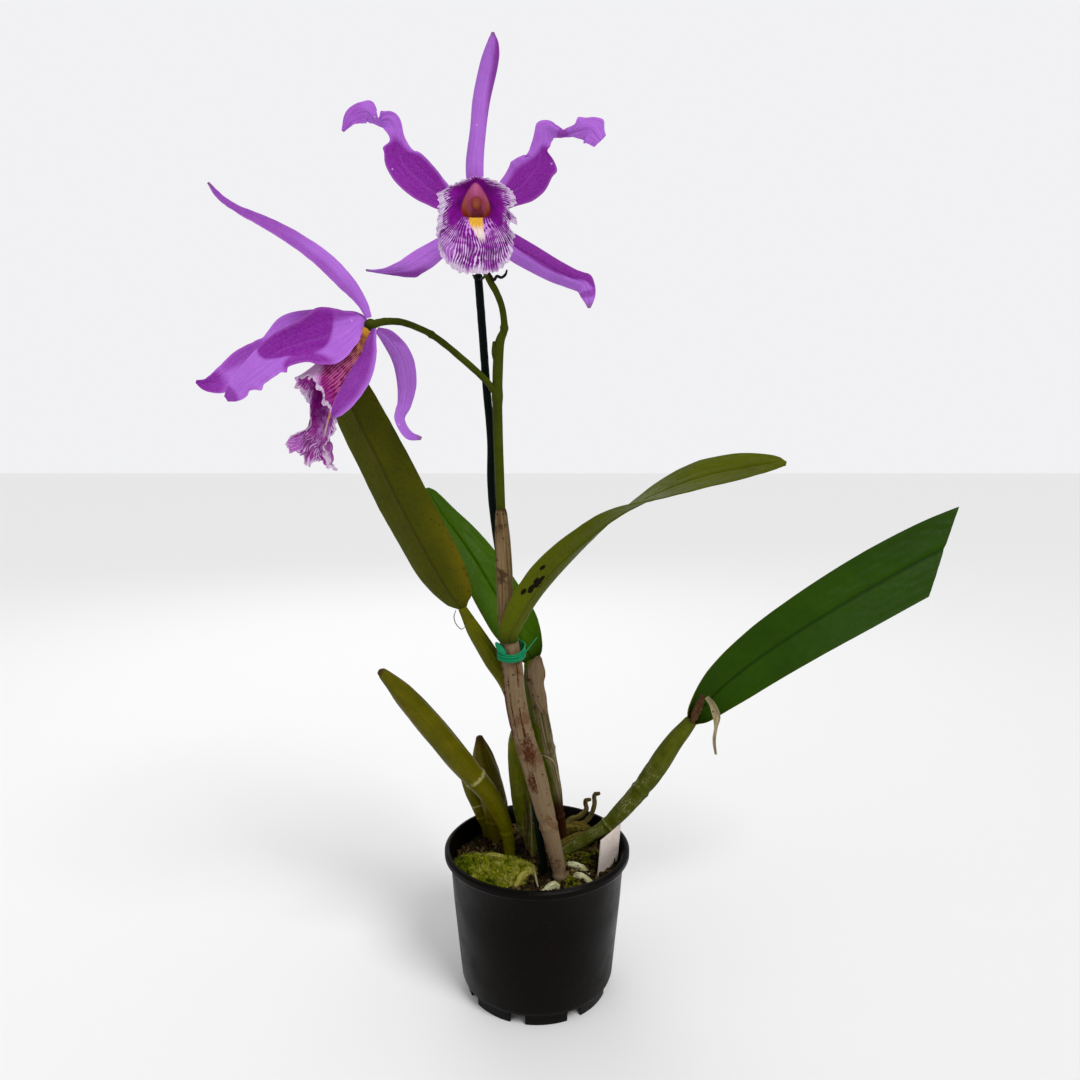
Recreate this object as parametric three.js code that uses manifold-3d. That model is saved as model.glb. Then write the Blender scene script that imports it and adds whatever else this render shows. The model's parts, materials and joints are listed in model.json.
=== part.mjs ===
// A cattleya orchid in a round nursery pot: two blooms on one stem, four leaves and the old
// leafless bulbs, tied to a stake. Millimetres, +Z up, the plant's front towards -Y.
// The origin is the centre of the pot's foot, on the surface that the pot stands on.

import * as THREE from "three";
import { mergeVertices } from "three/addons/utils/BufferGeometryUtils.js";
import Module from "manifold-3d";

const wasm = await Module();
wasm.setup();

// ---- Driving dimensions -----------------------------------------------------------------

const GAP = 0.3; // clearance between pieces that touch
const HOLE_GAP = 0.4; // clearance round a thing that stands in the mix, and round the mix
const FRONT = new THREE.Vector3(0, -1, 0); // the way that an unturned blade faces

const POT_HEIGHT = 99;
const RIM_RADIUS = 62.5;
const RIM_DEPTH = 6;
const SHOULDER_RADIUS = 58.6; // outside of the wall just below the rim
const BODY_RADIUS = 51.7; // outside of the wall at its lower edge
const BODY_BOTTOM = 10;
const FOOT_RADIUS = 48;
const POT_WALL = 1.8;
const POT_FLOOR = 8; // top of the pot's floor
const BOSS_RADIUS = 7; // moulding boss under the middle of the floor, flush with the foot
const NOTCH_COUNT = 8;
const NOTCH_WIDTH = 10;
const NOTCH_HEIGHT = 7.6;
const NOTCH_FIRST = 30; // degrees round from the front
const ROUND_STEPS = 36; // sides of the pot and of the mix in it

const MIX_TOP = 87.5;
const MIX_ROUGHNESS = 0.9; // height of the mix's humps
const MOSS_CENTRE = [-31, -20];
const MOSS_REACH = [27, 23];
const MOSS_HEIGHT = 6;
const MOSS_LIMIT = 55; // how far from the pot's axis the moss reaches

const STAKE_RADIUS = 2.5;
const LABEL_SIZE = [27, 0.8, 56]; // width, thickness, height
const LABEL_BURIED = 30;

const TEPAL_THICKNESS = 0.8;
const LIP_THICKNESS = 0.8;
const LEAF_THICKNESS = 1.6;
const PAPER_THICKNESS = 0.6;
const RECEPTACLE_RADIUS = 3.4; // the round head of each flower stalk

const TOP_BLOOM = [-33, -48, 496];
const LEFT_BLOOM = [-92, -62, 436];

// ---- Making shapes ----------------------------------------------------------------------

// Blends rows of numbers smoothly, one column at a time. t runs from 0 at the first row to 1.
function along(rows, t) {
  const last = rows.length - 1;
  const place = Math.min(Math.max(t, 0), 1) * last;
  const i = Math.min(Math.floor(place), last - 1);
  const f = place - i;
  return rows[i].map((b, column) => {
    const c = rows[i + 1][column];
    const a = i > 0 ? rows[i - 1][column] : 2 * b - c;
    const d = i + 2 <= last ? rows[i + 2][column] : 2 * c - b;
    return b + 0.5 * f * (c - a + f * (2 * a - 5 * b + 4 * c - d + f * (3 * (b - c) + d - a)));
  });
}

function pointAlong(rows, t) {
  const [x, y, z] = along(rows, t);
  return new THREE.Vector3(x, y, z);
}

// Turns a geometry into a closed one of shared corners, with its faces pointing out.
function closed(geometry) {
  const bare = geometry.index ? geometry.clone() : mergeVertices(geometry);
  bare.deleteAttribute("normal");
  bare.deleteAttribute("uv");
  const merged = mergeVertices(bare, 1e-4);
  const index = Array.from(merged.index.array);
  const corner = (k) => new THREE.Vector3().fromBufferAttribute(merged.attributes.position, k);
  const kept = [];
  let volume = 0;
  for (let k = 0; k < index.length; k += 3) {
    const [a, b, c] = index.slice(k, k + 3);
    if (a === b || b === c || c === a) continue;
    kept.push(a, b, c);
    volume += corner(a).dot(corner(b).cross(corner(c)));
  }
  merged.setIndex(volume < 0 ? kept.reverse() : kept);
  return merged;
}

function solidOf(geometry) {
  const shape = closed(geometry);
  const vertProperties = new Float32Array(shape.attributes.position.array);
  const triVerts = new Uint32Array(shape.index.array);
  return new wasm.Manifold(new wasm.Mesh({ numProp: 3, vertProperties, triVerts }));
}

function geometryOf(solid) {
  const { vertProperties, triVerts } = solid.getMesh();
  const geometry = new THREE.BufferGeometry();
  geometry.setAttribute("position", new THREE.BufferAttribute(vertProperties, 3));
  geometry.setIndex(new THREE.BufferAttribute(triVerts, 1));
  return geometry;
}

function joined(first, ...others) {
  return geometryOf(others.reduce((sum, other) => sum.add(solidOf(other)), solidOf(first)));
}

function cut(first, ...tools) {
  return geometryOf(tools.reduce((rest, tool) => rest.subtract(solidOf(tool)), solidOf(first)));
}

// A solid sheet on a grid of middle points. point(u, v) gives the middle surface, u and v from
// 0 to 1, and both faces are split into triangles alike. A ring closes on itself across v.
function sheet(point, lengthSteps, widthSteps, thickness, ring = false) {
  const columns = ring ? widthSteps : widthSteps + 1;
  const e = 1e-3;
  const corners = [];
  for (const side of [0.5, -0.5]) {
    for (let i = 0; i <= lengthSteps; i++) {
      for (let j = 0; j < columns; j++) {
        const u = i / lengthSteps;
        const v = j / widthSteps;
        const u0 = Math.max(u - e, 0);
        const u1 = Math.min(u + e, 1);
        const v0 = ring ? v - e : Math.max(v - e, 0);
        const v1 = ring ? v + e : Math.min(v + e, 1);
        const lengthways = point(u1, v).sub(point(u0, v));
        const sideways = point(u, v1).sub(point(u, v0));
        const normal = lengthways.cross(sideways).normalize();
        corners.push(point(u, v).addScaledVector(normal, side * thickness));
      }
    }
  }
  const back = (lengthSteps + 1) * columns;
  const at = (i, j) => i * columns + (j % columns);
  const index = [];
  const quad = (a, b, c, d) => index.push(a, b, c, a, c, d);
  for (let i = 0; i < lengthSteps; i++) {
    for (let j = 0; j < widthSteps; j++) {
      const [a, b, c, d] = [at(i, j), at(i + 1, j), at(i + 1, j + 1), at(i, j + 1)];
      quad(a, b, c, d);
      index.push(back + a, back + c, back + b, back + a, back + d, back + c);
    }
  }
  for (let j = 0; j < widthSteps; j++) {
    const [a, b] = [at(0, j), at(0, j + 1)];
    const [c, d] = [at(lengthSteps, j), at(lengthSteps, j + 1)];
    quad(a, b, back + b, back + a);
    quad(d, c, back + c, back + d);
  }
  if (!ring) {
    for (let i = 0; i < lengthSteps; i++) {
      const [a, b] = [at(i, 0), at(i + 1, 0)];
      const [c, d] = [at(i, widthSteps), at(i + 1, widthSteps)];
      quad(b, a, back + a, back + b);
      quad(c, d, back + d, back + c);
    }
  }
  const geometry = new THREE.BufferGeometry();
  geometry.setAttribute("position", new THREE.Float32BufferAttribute(
    corners.flatMap((p) => [p.x, p.y, p.z]), 3));
  geometry.setIndex(index);
  return closed(geometry);
}

// A leaf, petal or papery sheath. Each row is x, y, z of the midrib, the width across the
// curve, the turn about the midrib away from facing front, and the curl: half the angle that
// the section bends through, towards its face. wave is the height of its wavy edge.
function blade(rows, thickness, options = {}) {
  const { steps = 16, across = 4, face = FRONT, wave = 0, waves = 3, lag = 0.4 } = options;
  const point = (u, v) => {
    const [x, y, z, width, turn, curl] = along(rows, u);
    const ahead = pointAlong(rows, Math.min(u + 0.01, 1));
    const behind = pointAlong(rows, Math.max(u - 0.01, 0));
    const tangent = ahead.sub(behind).normalize();
    const level = face.clone().addScaledVector(tangent, -face.dot(tangent)).normalize();
    const flat = tangent.clone().cross(level);
    const angle = THREE.MathUtils.degToRad(turn);
    const up = level.clone().multiplyScalar(Math.cos(angle));
    up.addScaledVector(flat, Math.sin(angle));
    const side = tangent.clone().cross(up);
    const s = 2 * v - 1;
    const bend = THREE.MathUtils.degToRad(curl);
    const nearlyFlat = Math.abs(bend) < 1e-3;
    const reach = nearlyFlat ? s : Math.sin(bend * s) / bend;
    const rise = nearlyFlat ? 0 : (1 - Math.cos(bend * s)) / bend;
    const ripple = wave * s * s * Math.sin(2 * Math.PI * (waves * u + lag * s)) * Math.sin(Math.PI * u);
    return new THREE.Vector3(x, y, z)
      .addScaledVector(side, (reach * width) / 2)
      .addScaledVector(up, (rise * width) / 2 + ripple);
  };
  return sheet(point, steps, across, thickness);
}

// A round stem or bulb. Each row is x, y, z of its axis and the radius there. grow makes it
// that much bigger all round, for the hole that it stands in.
function stalk(rows, options = {}) {
  const { sides = 8, steps = 2 * (rows.length - 1), grow = 0 } = options;
  const curve = new THREE.CatmullRomCurve3();
  curve.getPoint = (t) => pointAlong(rows, t);
  curve.getPointAt = curve.getPoint;
  const tube = new THREE.CylinderGeometry(1, 1, 1, sides, steps);
  const { normals, binormals, tangents } = curve.computeFrenetFrames(steps);
  const position = tube.attributes.position;
  for (let k = 0; k < position.count; k++) {
    const ring = Math.round((position.getY(k) + 0.5) * steps);
    const radius = along(rows, ring / steps)[3] + grow;
    const p = pointAlong(rows, ring / steps);
    const stretch = ring === 0 ? -grow : ring === steps ? grow : 0;
    p.addScaledVector(tangents[ring], stretch);
    p.addScaledVector(normals[ring], position.getX(k) * radius);
    p.addScaledVector(binormals[ring], -position.getZ(k) * radius);
    position.setXYZ(k, p.x, p.y, p.z);
  }
  return closed(tube);
}

// A round body about +Z from its profile of [radius, height] pairs.
function turned(profile, segments) {
  const points = profile.map(([radius, height]) => new THREE.Vector2(radius, height));
  return closed(new THREE.LatheGeometry(points, segments).rotateX(Math.PI / 2));
}

// ---- The scene graph --------------------------------------------------------------------

const plant = new THREE.Group();

function add(name, geometry, color, roughness, parent = plant) {
  const material = new THREE.MeshStandardMaterial({ color, roughness, metalness: 0 });
  const mesh = new THREE.Mesh(geometry, material);
  mesh.name = name;
  parent.add(mesh);
  return mesh;
}

// ---- Canes and bulbs: x, y, z, radius, from below the mix upwards -----------------------

const FRONT_CANE = [
  [16, -24, 74, 3.6],
  [15, -24, 90, 4.4],
  [10, -24, 114, 5.2],
  [4, -24, 138, 6.4],
  [-2, -24, 162, 7],
  [-9, -24, 186, 6.8],
  [-13.5, -24, 209, 6.7],
  [-15.5, -24, 230, 6.5],
  [-17, -24, 245, 5.6],
];
const LEFT_CANE = [
  [13, -4, 76, 3.2],
  [12, -4, 92, 3.6],
  [6, -3, 120, 4.4],
  [-1, -2, 150, 5],
  [-9, -2, 182, 5.8],
  [-18, -3, 211, 6.2],
  [-29, -7, 230, 6],
  [-39, -11, 248, 5],
  [-47, -14.5, 264.5, 2.8],
];
const REAR_CANE = [
  [18.5, 26, 76, 2.8],
  [18, 25, 96, 2.9],
  [15.5, 22, 112, 3.2],
  [12, 19, 132, 4.6],
  [7, 16, 154, 6.2],
  [1, 12, 185, 7],
  [-2.5, 10, 208, 6.4],
  [-3.5, 8.5, 222, 5.4],
];
const RIGHT_CANE = [
  [6, 6, 78, 3],
  [20, 8, 89, 3.4],
  [37, 9, 99.5, 4.1],
  [50, 10, 108.5, 5],
  [68, 11, 128.5, 6],
  [81, 12, 146, 6.8],
  [93, 14, 164, 6.2],
  [105, 16, 179, 4.4],
];
const LEAFLESS_BULB = [
  [-19, 4, 78, 3.4],
  [-19.5, 3, 98, 3.9],
  [-23, 1, 115, 5],
  [-32, -1.5, 134, 6.4],
  [-46, -5, 153.5, 7.8],
  [-59, -10, 172.5, 8.3],
  [-72.5, -15.5, 192.5, 8],
  [-85, -20.5, 210.5, 6.6],
  [-96, -25, 224.5, 3.6],
  [-98.5, -26, 227, 2.2],
];
const SHORT_BULB = [
  [-27, 29, 76, 4.6],
  [-28, 28, 92, 6],
  [-30, 28, 112, 8.8],
  [-34, 28, 130, 9.2],
  [-38, 28, 148, 7.4],
  [-40.5, 28, 163, 2.6],
];
const BACK_BULB = [
  [-34, 36, 76, 3.2],
  [-36, 35.5, 92, 4],
  [-42, 36, 110, 5.8],
  [-48, 37, 125, 6],
  [-53, 38, 139, 3.4],
  [-54, 38, 142, 1.6],
];
const CENTRE_BULB = [
  [0, 11, 76, 4.2],
  [-2.5, 11.5, 92, 5.2],
  [-8, 12.5, 110, 6.6],
  [-10.5, 13, 128, 7.4],
  [-12.5, 13, 148, 7.2],
  [-14, 12, 166, 5.6],
  [-13, 12, 181, 2.2],
];
const STAKE = [
  [5.5, -16.5, 40],
  [5, -16.5, 85],
  [0, -15.5, 124],
  [-15, -13.2, 238],
  [-27.5, -13, 329],
  [-28.5, -13, 372],
  [-31, -13, 404],
  [-33, -13, 435],
  [-35.5, -13, 471],
].map((row) => [...row, STAKE_RADIUS]);

const CANES = {
  front_cane: [FRONT_CANE, 0x8c7866],
  left_cane: [LEFT_CANE, 0x7d7a10],
  rear_cane: [REAR_CANE, 0x6e6450],
  right_cane: [RIGHT_CANE, 0x5c6b1e],
  leafless_bulb: [LEAFLESS_BULB, 0x7a7812],
  short_bulb: [SHORT_BULB, 0x6a6a12],
  back_bulb: [BACK_BULB, 0x5f6a14],
  centre_bulb: [CENTRE_BULB, 0x66661a],
};
for (const [name, [rows, color]] of Object.entries(CANES)) {
  add(name, stalk(rows), color, 0.6);
}
add("stake", stalk(STAKE), 0x06231c, 0.4);

// ---- Rootstock and the roots that show --------------------------------------------------

const ROOTSTOCK = [
  [2, 23, 84, 3.2],
  [12, 35, 88.5, 4.2],
  [25, 38, 91, 4.6],
  [35, 36, 91, 4],
  [40, 30, 86, 3],
];
const AERIAL_ROOTS = [
  [[19, 37, 92, 1.8], [24, 39, 97, 1.8], [31, 40, 99, 1.9], [35.5, 40, 104, 1.7],
    [35, 40, 110.5, 1.6], [38.5, 39.5, 112, 1.2]],
  [[31, 38, 93, 1.8], [38, 40, 98, 1.8], [41.5, 41, 107, 1.7],
    [41.5, 41, 114.5, 1.6], [45, 40, 116.5, 1.2]],
];
const WHITE_ROOTS = [
  [[18, -9, 84, 1.8], [22, -10, 88.5, 2.1], [29, -14, 89, 2.2], [35, -19, 86, 1.8]],
  [[22.5, -22, 84, 1.8], [26.5, -23.5, 88.5, 2.2], [32, -28, 88.5, 2.2], [38, -33, 85, 1.8]],
  [[14, -33, 84.5, 2], [11, -35, 88.5, 2.4], [7, -39, 88.5, 2.2], [3, -42, 85, 1.8]],
];

const roots = AERIAL_ROOTS.map((rows) => stalk(rows, { sides: 6, steps: 10 }));
add("rhizome", joined(stalk(ROOTSTOCK), ...roots), 0x4a3a20, 0.85);
WHITE_ROOTS.forEach((rows, k) => {
  add(`white_root_${k + 1}`, stalk(rows), 0xc9c9a8, 0.7);
});

// ---- Pot --------------------------------------------------------------------------------

function potShell() {
  const shoulder = POT_HEIGHT - RIM_DEPTH;
  const inside = SHOULDER_RADIUS - POT_WALL;
  const body = turned([
    [0, 0],
    [BOSS_RADIUS, 0],
    [BOSS_RADIUS, POT_FLOOR - POT_WALL],
    [FOOT_RADIUS - POT_WALL, POT_FLOOR - POT_WALL],
    [FOOT_RADIUS - POT_WALL, 0],
    [FOOT_RADIUS, 0],
    [FOOT_RADIUS + 0.6, BODY_BOTTOM - 3],
    [BODY_RADIUS - 0.8, BODY_BOTTOM - 1.5],
    [BODY_RADIUS, BODY_BOTTOM + 1],
    [SHOULDER_RADIUS - 1.9, 0.7 * shoulder],
    [SHOULDER_RADIUS, shoulder],
    [RIM_RADIUS - 1, shoulder],
    [RIM_RADIUS, shoulder + 1.5],
    [RIM_RADIUS, POT_HEIGHT - 1.5],
    [RIM_RADIUS - 1.5, POT_HEIGHT],
    [RIM_RADIUS - 3, POT_HEIGHT],
    [RIM_RADIUS - 4.6, POT_HEIGHT - 2.5],
    [inside, shoulder],
    [BODY_RADIUS - POT_WALL, BODY_BOTTOM],
    [BODY_RADIUS - POT_WALL - 1.5, POT_FLOOR],
    [0, POT_FLOOR],
  ], ROUND_STEPS);
  const notches = [];
  for (let k = 0; k < NOTCH_COUNT; k++) {
    const angle = THREE.MathUtils.degToRad(NOTCH_FIRST + (360 * k) / NOTCH_COUNT);
    const box = new THREE.BoxGeometry(NOTCH_WIDTH, 14, 2 * NOTCH_HEIGHT);
    box.translate(0, -FOOT_RADIUS, 0);
    notches.push(box.rotateZ(angle));
  }
  return cut(body, ...notches);
}

add("pot", potShell(), 0x14110f, 0.45);

// ---- Plant label: a bare plate pushed into the mix --------------------------------------

const labelFoot = new THREE.Vector3(47.3, -12, MIX_TOP);
const labelAcross = new THREE.Vector3(15, 23, 0).normalize();
const labelLean = new THREE.Vector3(4.5, 3, 26);
const labelFace = labelAcross.clone().cross(labelLean).normalize();
const labelUp = labelFace.clone().cross(labelAcross);

function labelPlate(grow) {
  const [width, thickness, height] = LABEL_SIZE.map((size) => size + 2 * grow);
  const plate = new THREE.BoxGeometry(width, thickness, height);
  plate.translate(0, 0, height / 2 - LABEL_BURIED - grow);
  const frame = new THREE.Matrix4().makeBasis(labelAcross, labelFace.clone().negate(), labelUp);
  frame.setPosition(labelFoot);
  return closed(plate.applyMatrix4(frame));
}

add("plant_label", labelPlate(0), 0xd9cfc9, 0.5);

// ---- Potting mix, with a plain hole for each thing that stands in it, and moss ----------

function hump(x, y) {
  return MIX_ROUGHNESS * (Math.sin(x / 7 + 1) * Math.cos(y / 9) + Math.sin((x + y) / 13));
}

function pottingMix() {
  const slope = (SHOULDER_RADIUS - BODY_RADIUS) / (POT_HEIGHT - RIM_DEPTH - BODY_BOTTOM);
  const bottomRadius = BODY_RADIUS - POT_WALL - HOLE_GAP;
  const topRadius = bottomRadius + slope * (MIX_TOP - BODY_BOTTOM);
  const rings = [1, 0.8, 0.6, 0.4, 0.2].map((share) => [share * topRadius, MIX_TOP]);
  const body = turned([
    [0, POT_FLOOR + GAP],
    [bottomRadius - 1.6, POT_FLOOR + GAP],
    [bottomRadius, BODY_BOTTOM],
    ...rings,
    [0, MIX_TOP],
  ], ROUND_STEPS);
  const position = body.attributes.position;
  for (let k = 0; k < position.count; k++) {
    const [x, y, z] = [position.getX(k), position.getY(k), position.getZ(k)];
    if (z > MIX_TOP - 0.01) position.setZ(k, z + hump(x, y));
  }
  const standing = [...Object.values(CANES).map(([rows]) => rows), STAKE, ROOTSTOCK, ...WHITE_ROOTS];
  const holes = standing.map((rows) => stalk(rows, { grow: HOLE_GAP }));
  return cut(body, ...holes, labelPlate(GAP));
}

// A dome with an uneven top, whose underside lies on the mix.
function mossCushion(mix) {
  const dome = turned([
    [0, -6],
    [1, -6],
    [1, 0],
    [0.82, 0.6],
    [0.62, 0.82],
    [0.4, 0.94],
    [0.2, 1],
    [0, 1],
  ], 24);
  const position = dome.attributes.position;
  for (let k = 0; k < position.count; k++) {
    const [x, y, z] = [position.getX(k), position.getY(k), position.getZ(k)];
    const edge = 1 + 0.12 * Math.sin(3 * Math.atan2(y, x) + 1);
    const lump = z > 0 ? 0.22 * Math.sin(9 * x + 2) * Math.cos(8 * y) : 0;
    const place = new THREE.Vector2(x * MOSS_REACH[0], y * MOSS_REACH[1]).multiplyScalar(edge);
    place.x += MOSS_CENTRE[0];
    place.y += MOSS_CENTRE[1];
    place.clampLength(0, MOSS_LIMIT);
    position.setX(k, place.x);
    position.setY(k, place.y);
    position.setZ(k, MIX_TOP + (z + lump) * MOSS_HEIGHT * (z > 0 ? 1 : 0.1));
  }
  const bed = mix.clone().translate(0, 0, GAP);
  return cut(dome, bed, stalk(LEAFLESS_BULB, { grow: 2 * GAP }));
}

const mix = pottingMix();
add("potting_mix", mix, 0x1f1710, 0.95);
add("moss", mossCushion(mix), 0x5d7a14, 0.95);

// ---- Leaves: x, y, z, width, turn, curl, from the base outwards -------------------------

const LEFT_LEAF = [
  [-47.25, -14.8, 265, 7, 165, 60],
  [-51, -18, 271, 23, 160, 40],
  [-61, -23, 289, 36, 155, 26],
  [-72, -28, 312, 39.5, 152, 20],
  [-83, -33, 336, 40, 150, 16],
  [-93, -38, 360, 38.5, 150, 14],
  [-103, -43, 383, 36, 150, 12],
  [-111.5, -48, 405, 29, 150, 12],
  [-117, -52, 422, 12, 150, 10],
  [-119, -53, 427, 3, 150, 6],
];
const REAR_LEAF = [
  [-3.6, 8.4, 222.9, 10, 20, 70],
  [-7, 10, 231, 24, 22, 52],
  [-15.5, 13.5, 247, 34, 25, 32],
  [-27, 18, 266, 34, 28, 24],
  [-39.5, 24, 286, 31, 30, 20],
  [-52, 30, 303.5, 26, 30, 18],
  [-64, 36, 318.5, 19, 30, 14],
  [-74, 41, 333, 10, 30, 10],
  [-78, 43, 336, 3, 30, 6],
];
const ARCHING_LEAF = [
  [-17.2, -30.3, 246.6, 13.4, 190, 60],
  [-17, -30.8, 250.5, 14.6, 195, 60],
  [-14.5, -32, 257, 17, 203, 55],
  [-4.5, -34, 275, 22, 216, 44],
  [10, -38, 294.5, 26, 226, 32],
  [28, -42, 312.5, 28, 238, 24],
  [47, -48, 328.5, 31, 254, 20],
  [68.5, -56, 341, 32, 276, 18],
  [91, -65, 351, 31, 292, 18],
  [113, -73, 357, 26, 298, 16],
  [129, -79, 360, 14, 300, 12],
  [135.5, -82, 360.5, 3, 300, 8],
];
const RIGHT_LEAF = [
  [105.45, 16.07, 179.6, 9, -10, 75],
  [111.5, 17, 186.5, 21, -12, 58],
  [129, 19, 204.5, 33, -15, 36],
  [156.5, 23, 225, 40, -18, 24],
  [186, 27, 243.5, 44, -20, 18],
  [217, 32, 261, 47, -20, 14],
  [249, 37, 278, 48, -20, 10],
  [282, 42, 294, 47, -20, 8],
  [315, 47, 308.5, 43, -20, 8],
];
const LEAF_CUT = { at: [284.5, 41, 296], tilt: 25 }; // the straight cut across the right leaf

function cutLeaf() {
  const whole = blade(RIGHT_LEAF, LEAF_THICKNESS, { steps: 16, across: 4 });
  const box = new THREE.BoxGeometry(100, 160, 160).translate(50, 0, 0);
  box.rotateY(THREE.MathUtils.degToRad(LEAF_CUT.tilt)).translate(...LEAF_CUT.at);
  return cut(whole, box);
}

add("left_leaf", blade(LEFT_LEAF, LEAF_THICKNESS, { steps: 18, across: 4 }), 0x4c4f0a, 0.5);
add("rear_leaf", blade(REAR_LEAF, LEAF_THICKNESS, { steps: 16, across: 4 }), 0x2c5a08, 0.5);
add("arching_leaf", blade(ARCHING_LEAF, LEAF_THICKNESS, { steps: 20, across: 4 }), 0x3f5208, 0.5);
add("right_leaf", cutLeaf(), 0x1d3f06, 0.5);

// ---- Flower stem with its two stalks, spathes, dry shred and tie ------------------------

const STEM = [
  [-17.6, -23.6, 245.4, 2.6],
  [-19, -24, 262, 2.6],
  [-20, -24, 298, 2.7],
  [-22, -24, 330, 2.8],
  [-23.2, -24, 365, 2.9],
  [-23.7, -24.5, 398, 3],
  [-22.4, -26, 427, 2.9],
  [-19.2, -27.5, 438, 2.1],
  [-20.2, -30, 449, 1.9],
  [-23.5, -33, 458, 1.9],
  [-28, -36, 466, 1.9],
  [-32.3, -40, 479, 2],
  [-33.3, -44.5, 490, 2.2],
  [-33, -46.5, 494.5, 2.4],
];
const LEFT_STALK = [
  [-24, -24.5, 398, 1.6],
  [-30, -26.5, 407, 2],
  [-46.5, -33, 422, 2],
  [-61, -41, 433, 1.9],
  [-75, -50, 438.5, 1.9],
  [-84.5, -56.5, 438.5, 2],
  [-90.5, -61, 436.5, 2.2],
];
const BRACT = [
  [-23, -24.5, 418, 2.6],
  [-24.6, -25.5, 424, 2.4],
  [-25.4, -27, 430, 0.9],
];

function flowerStem() {
  const heads = [TOP_BLOOM, LEFT_BLOOM].map((centre) =>
    new THREE.SphereGeometry(RECEPTACLE_RADIUS, 10, 6).translate(...centre));
  return joined(stalk(STEM, { steps: 30 }), stalk(LEFT_STALK), stalk(BRACT, { steps: 3 }), ...heads);
}

add("flower_stem", flowerStem(), 0x46610f, 0.55);

const SPATHE = [
  [-17.9, -28.5, 245.5, 23, 4, -150],
  [-19.4, -28.7, 262, 24, 4, -148],
  [-20, -28.9, 285, 25, 0, -145],
  [-21, -28.7, 308, 23, 0, -140],
  [-21.7, -28.1, 322, 15, 0, -110],
  [-22, -27.8, 330, 7, 0, -60],
];
const OLD_SPATHE = [
  [105.8, 12.6, 180.2, 1.7],
  [107.8, 10.6, 187, 2.6],
  [110.5, 9.6, 195, 2.2],
  [112, 9.2, 200, 1.4],
];
const DRY_SHRED = [
  [114.4, 8.5, 199, 3, 10, 20],
  [118, 6.5, 195, 5, 30, 40],
  [120.5, 5.5, 188, 6, 10, 50],
  [120, 5, 179, 4, -40, 40],
  [119.5, 5, 170, 2.4, -10, 30],
  [121, 5, 160, 1.4, 10, 10],
];

add("spathe", blade(SPATHE, PAPER_THICKNESS, { steps: 10, across: 10 }), 0x9b8672, 0.8);
add("old_spathe", stalk(OLD_SPATHE, { sides: 6, steps: 6 }), 0x4b3426, 0.85);
add("dry_shred", blade(DRY_SHRED, PAPER_THICKNESS, { steps: 12, across: 2 }), 0xa89f7a, 0.85);

const TIE_CENTRE = [-16.2, -20.8, 239];
const TIE_INSIDE = [7.7, 11.2]; // half the loop's opening, across and front to back
const TIE_TURNS = 4;
const TIE_RADIUS = 1.15;
const TIE_TAIL = [
  [-9.6, -28, 238, 0.7],
  [-7, -30, 241, 0.6],
  [-3.5, -30.5, 245.5, 0.5],
  [0, -30, 250, 0.5],
];
const TIE_KNOT = [
  [-25.5, -25.5, 245.5, 1.6],
  [-23, -29.2, 242.5, 2],
  [-20.2, -31.2, 240, 1.8],
];

// Turns of a soft tie lying close together round the front cane and the stake.
function tieBand() {
  const profile = [];
  const rise = 1.75 * TIE_RADIUS;
  for (let k = 0; k < TIE_TURNS; k++) {
    const height = (k - (TIE_TURNS - 1) / 2) * rise;
    profile.push([TIE_INSIDE[0] + TIE_RADIUS, height - 0.45 * rise]);
    profile.push([TIE_INSIDE[0] + 2 * TIE_RADIUS, height]);
  }
  const top = (TIE_TURNS * rise) / 2;
  profile.push([TIE_INSIDE[0] + TIE_RADIUS, top], [TIE_INSIDE[0], top - 0.6]);
  profile.push([TIE_INSIDE[0], 0.6 - top], profile[0]);
  const band = turned(profile, 20);
  const stretch = (TIE_INSIDE[1] + TIE_RADIUS) / (TIE_INSIDE[0] + TIE_RADIUS);
  band.scale(1, stretch, 1).translate(...TIE_CENTRE);
  const knot = stalk(TIE_KNOT, { sides: 6, steps: 4 });
  return joined(band, knot, stalk(TIE_TAIL, { sides: 5, steps: 5 }));
}

add("tie", tieBand(), 0x0b8f55, 0.45);

// ---- Blooms -----------------------------------------------------------------------------

// The lip is a trumpet about a level axis towards -Y: a narrow tube that opens at the throat
// into a frilled margin. Tube rows: forward, half width, half height, rise of the centre.
// Margin rows: out to the side, down and forward of the tube's root, from the foot of the
// front lobe round to the top, alike on both sides.
function lip(tube, margin, frill, waves) {
  const throat = tube[tube.length - 1];
  const share = 0.45; // of the length that the tube takes
  const onRing = ([forward, halfWidth, halfHeight, rise], angle) => new THREE.Vector3(
    halfWidth * Math.sin(angle), -forward, rise - halfHeight * Math.cos(angle));
  const point = (u, v) => {
    const angle = 2 * Math.PI * v;
    if (u <= share) return onRing(along(tube, u / share), angle);
    const s = (u - share) / (1 - share);
    const turn = Math.abs(((v + 0.5) % 1) - 0.5) * 2;
    const [out, down, forward] = along(margin, turn);
    const start = onRing(throat, angle);
    const end = new THREE.Vector3(v < 0.5 ? out : -out, -forward, -down);
    const knee = start.clone().lerp(end, 0.3);
    knee.y = start.y + 0.75 * (end.y - start.y);
    const p = start.multiplyScalar((1 - s) ** 2).addScaledVector(knee, 2 * s * (1 - s));
    p.addScaledVector(end, s * s);
    p.y += frill * s ** 3 * Math.sin(waves * angle);
    return p;
  };
  return sheet(point, 9, 4 * waves, LIP_THICKNESS, true);
}

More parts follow.
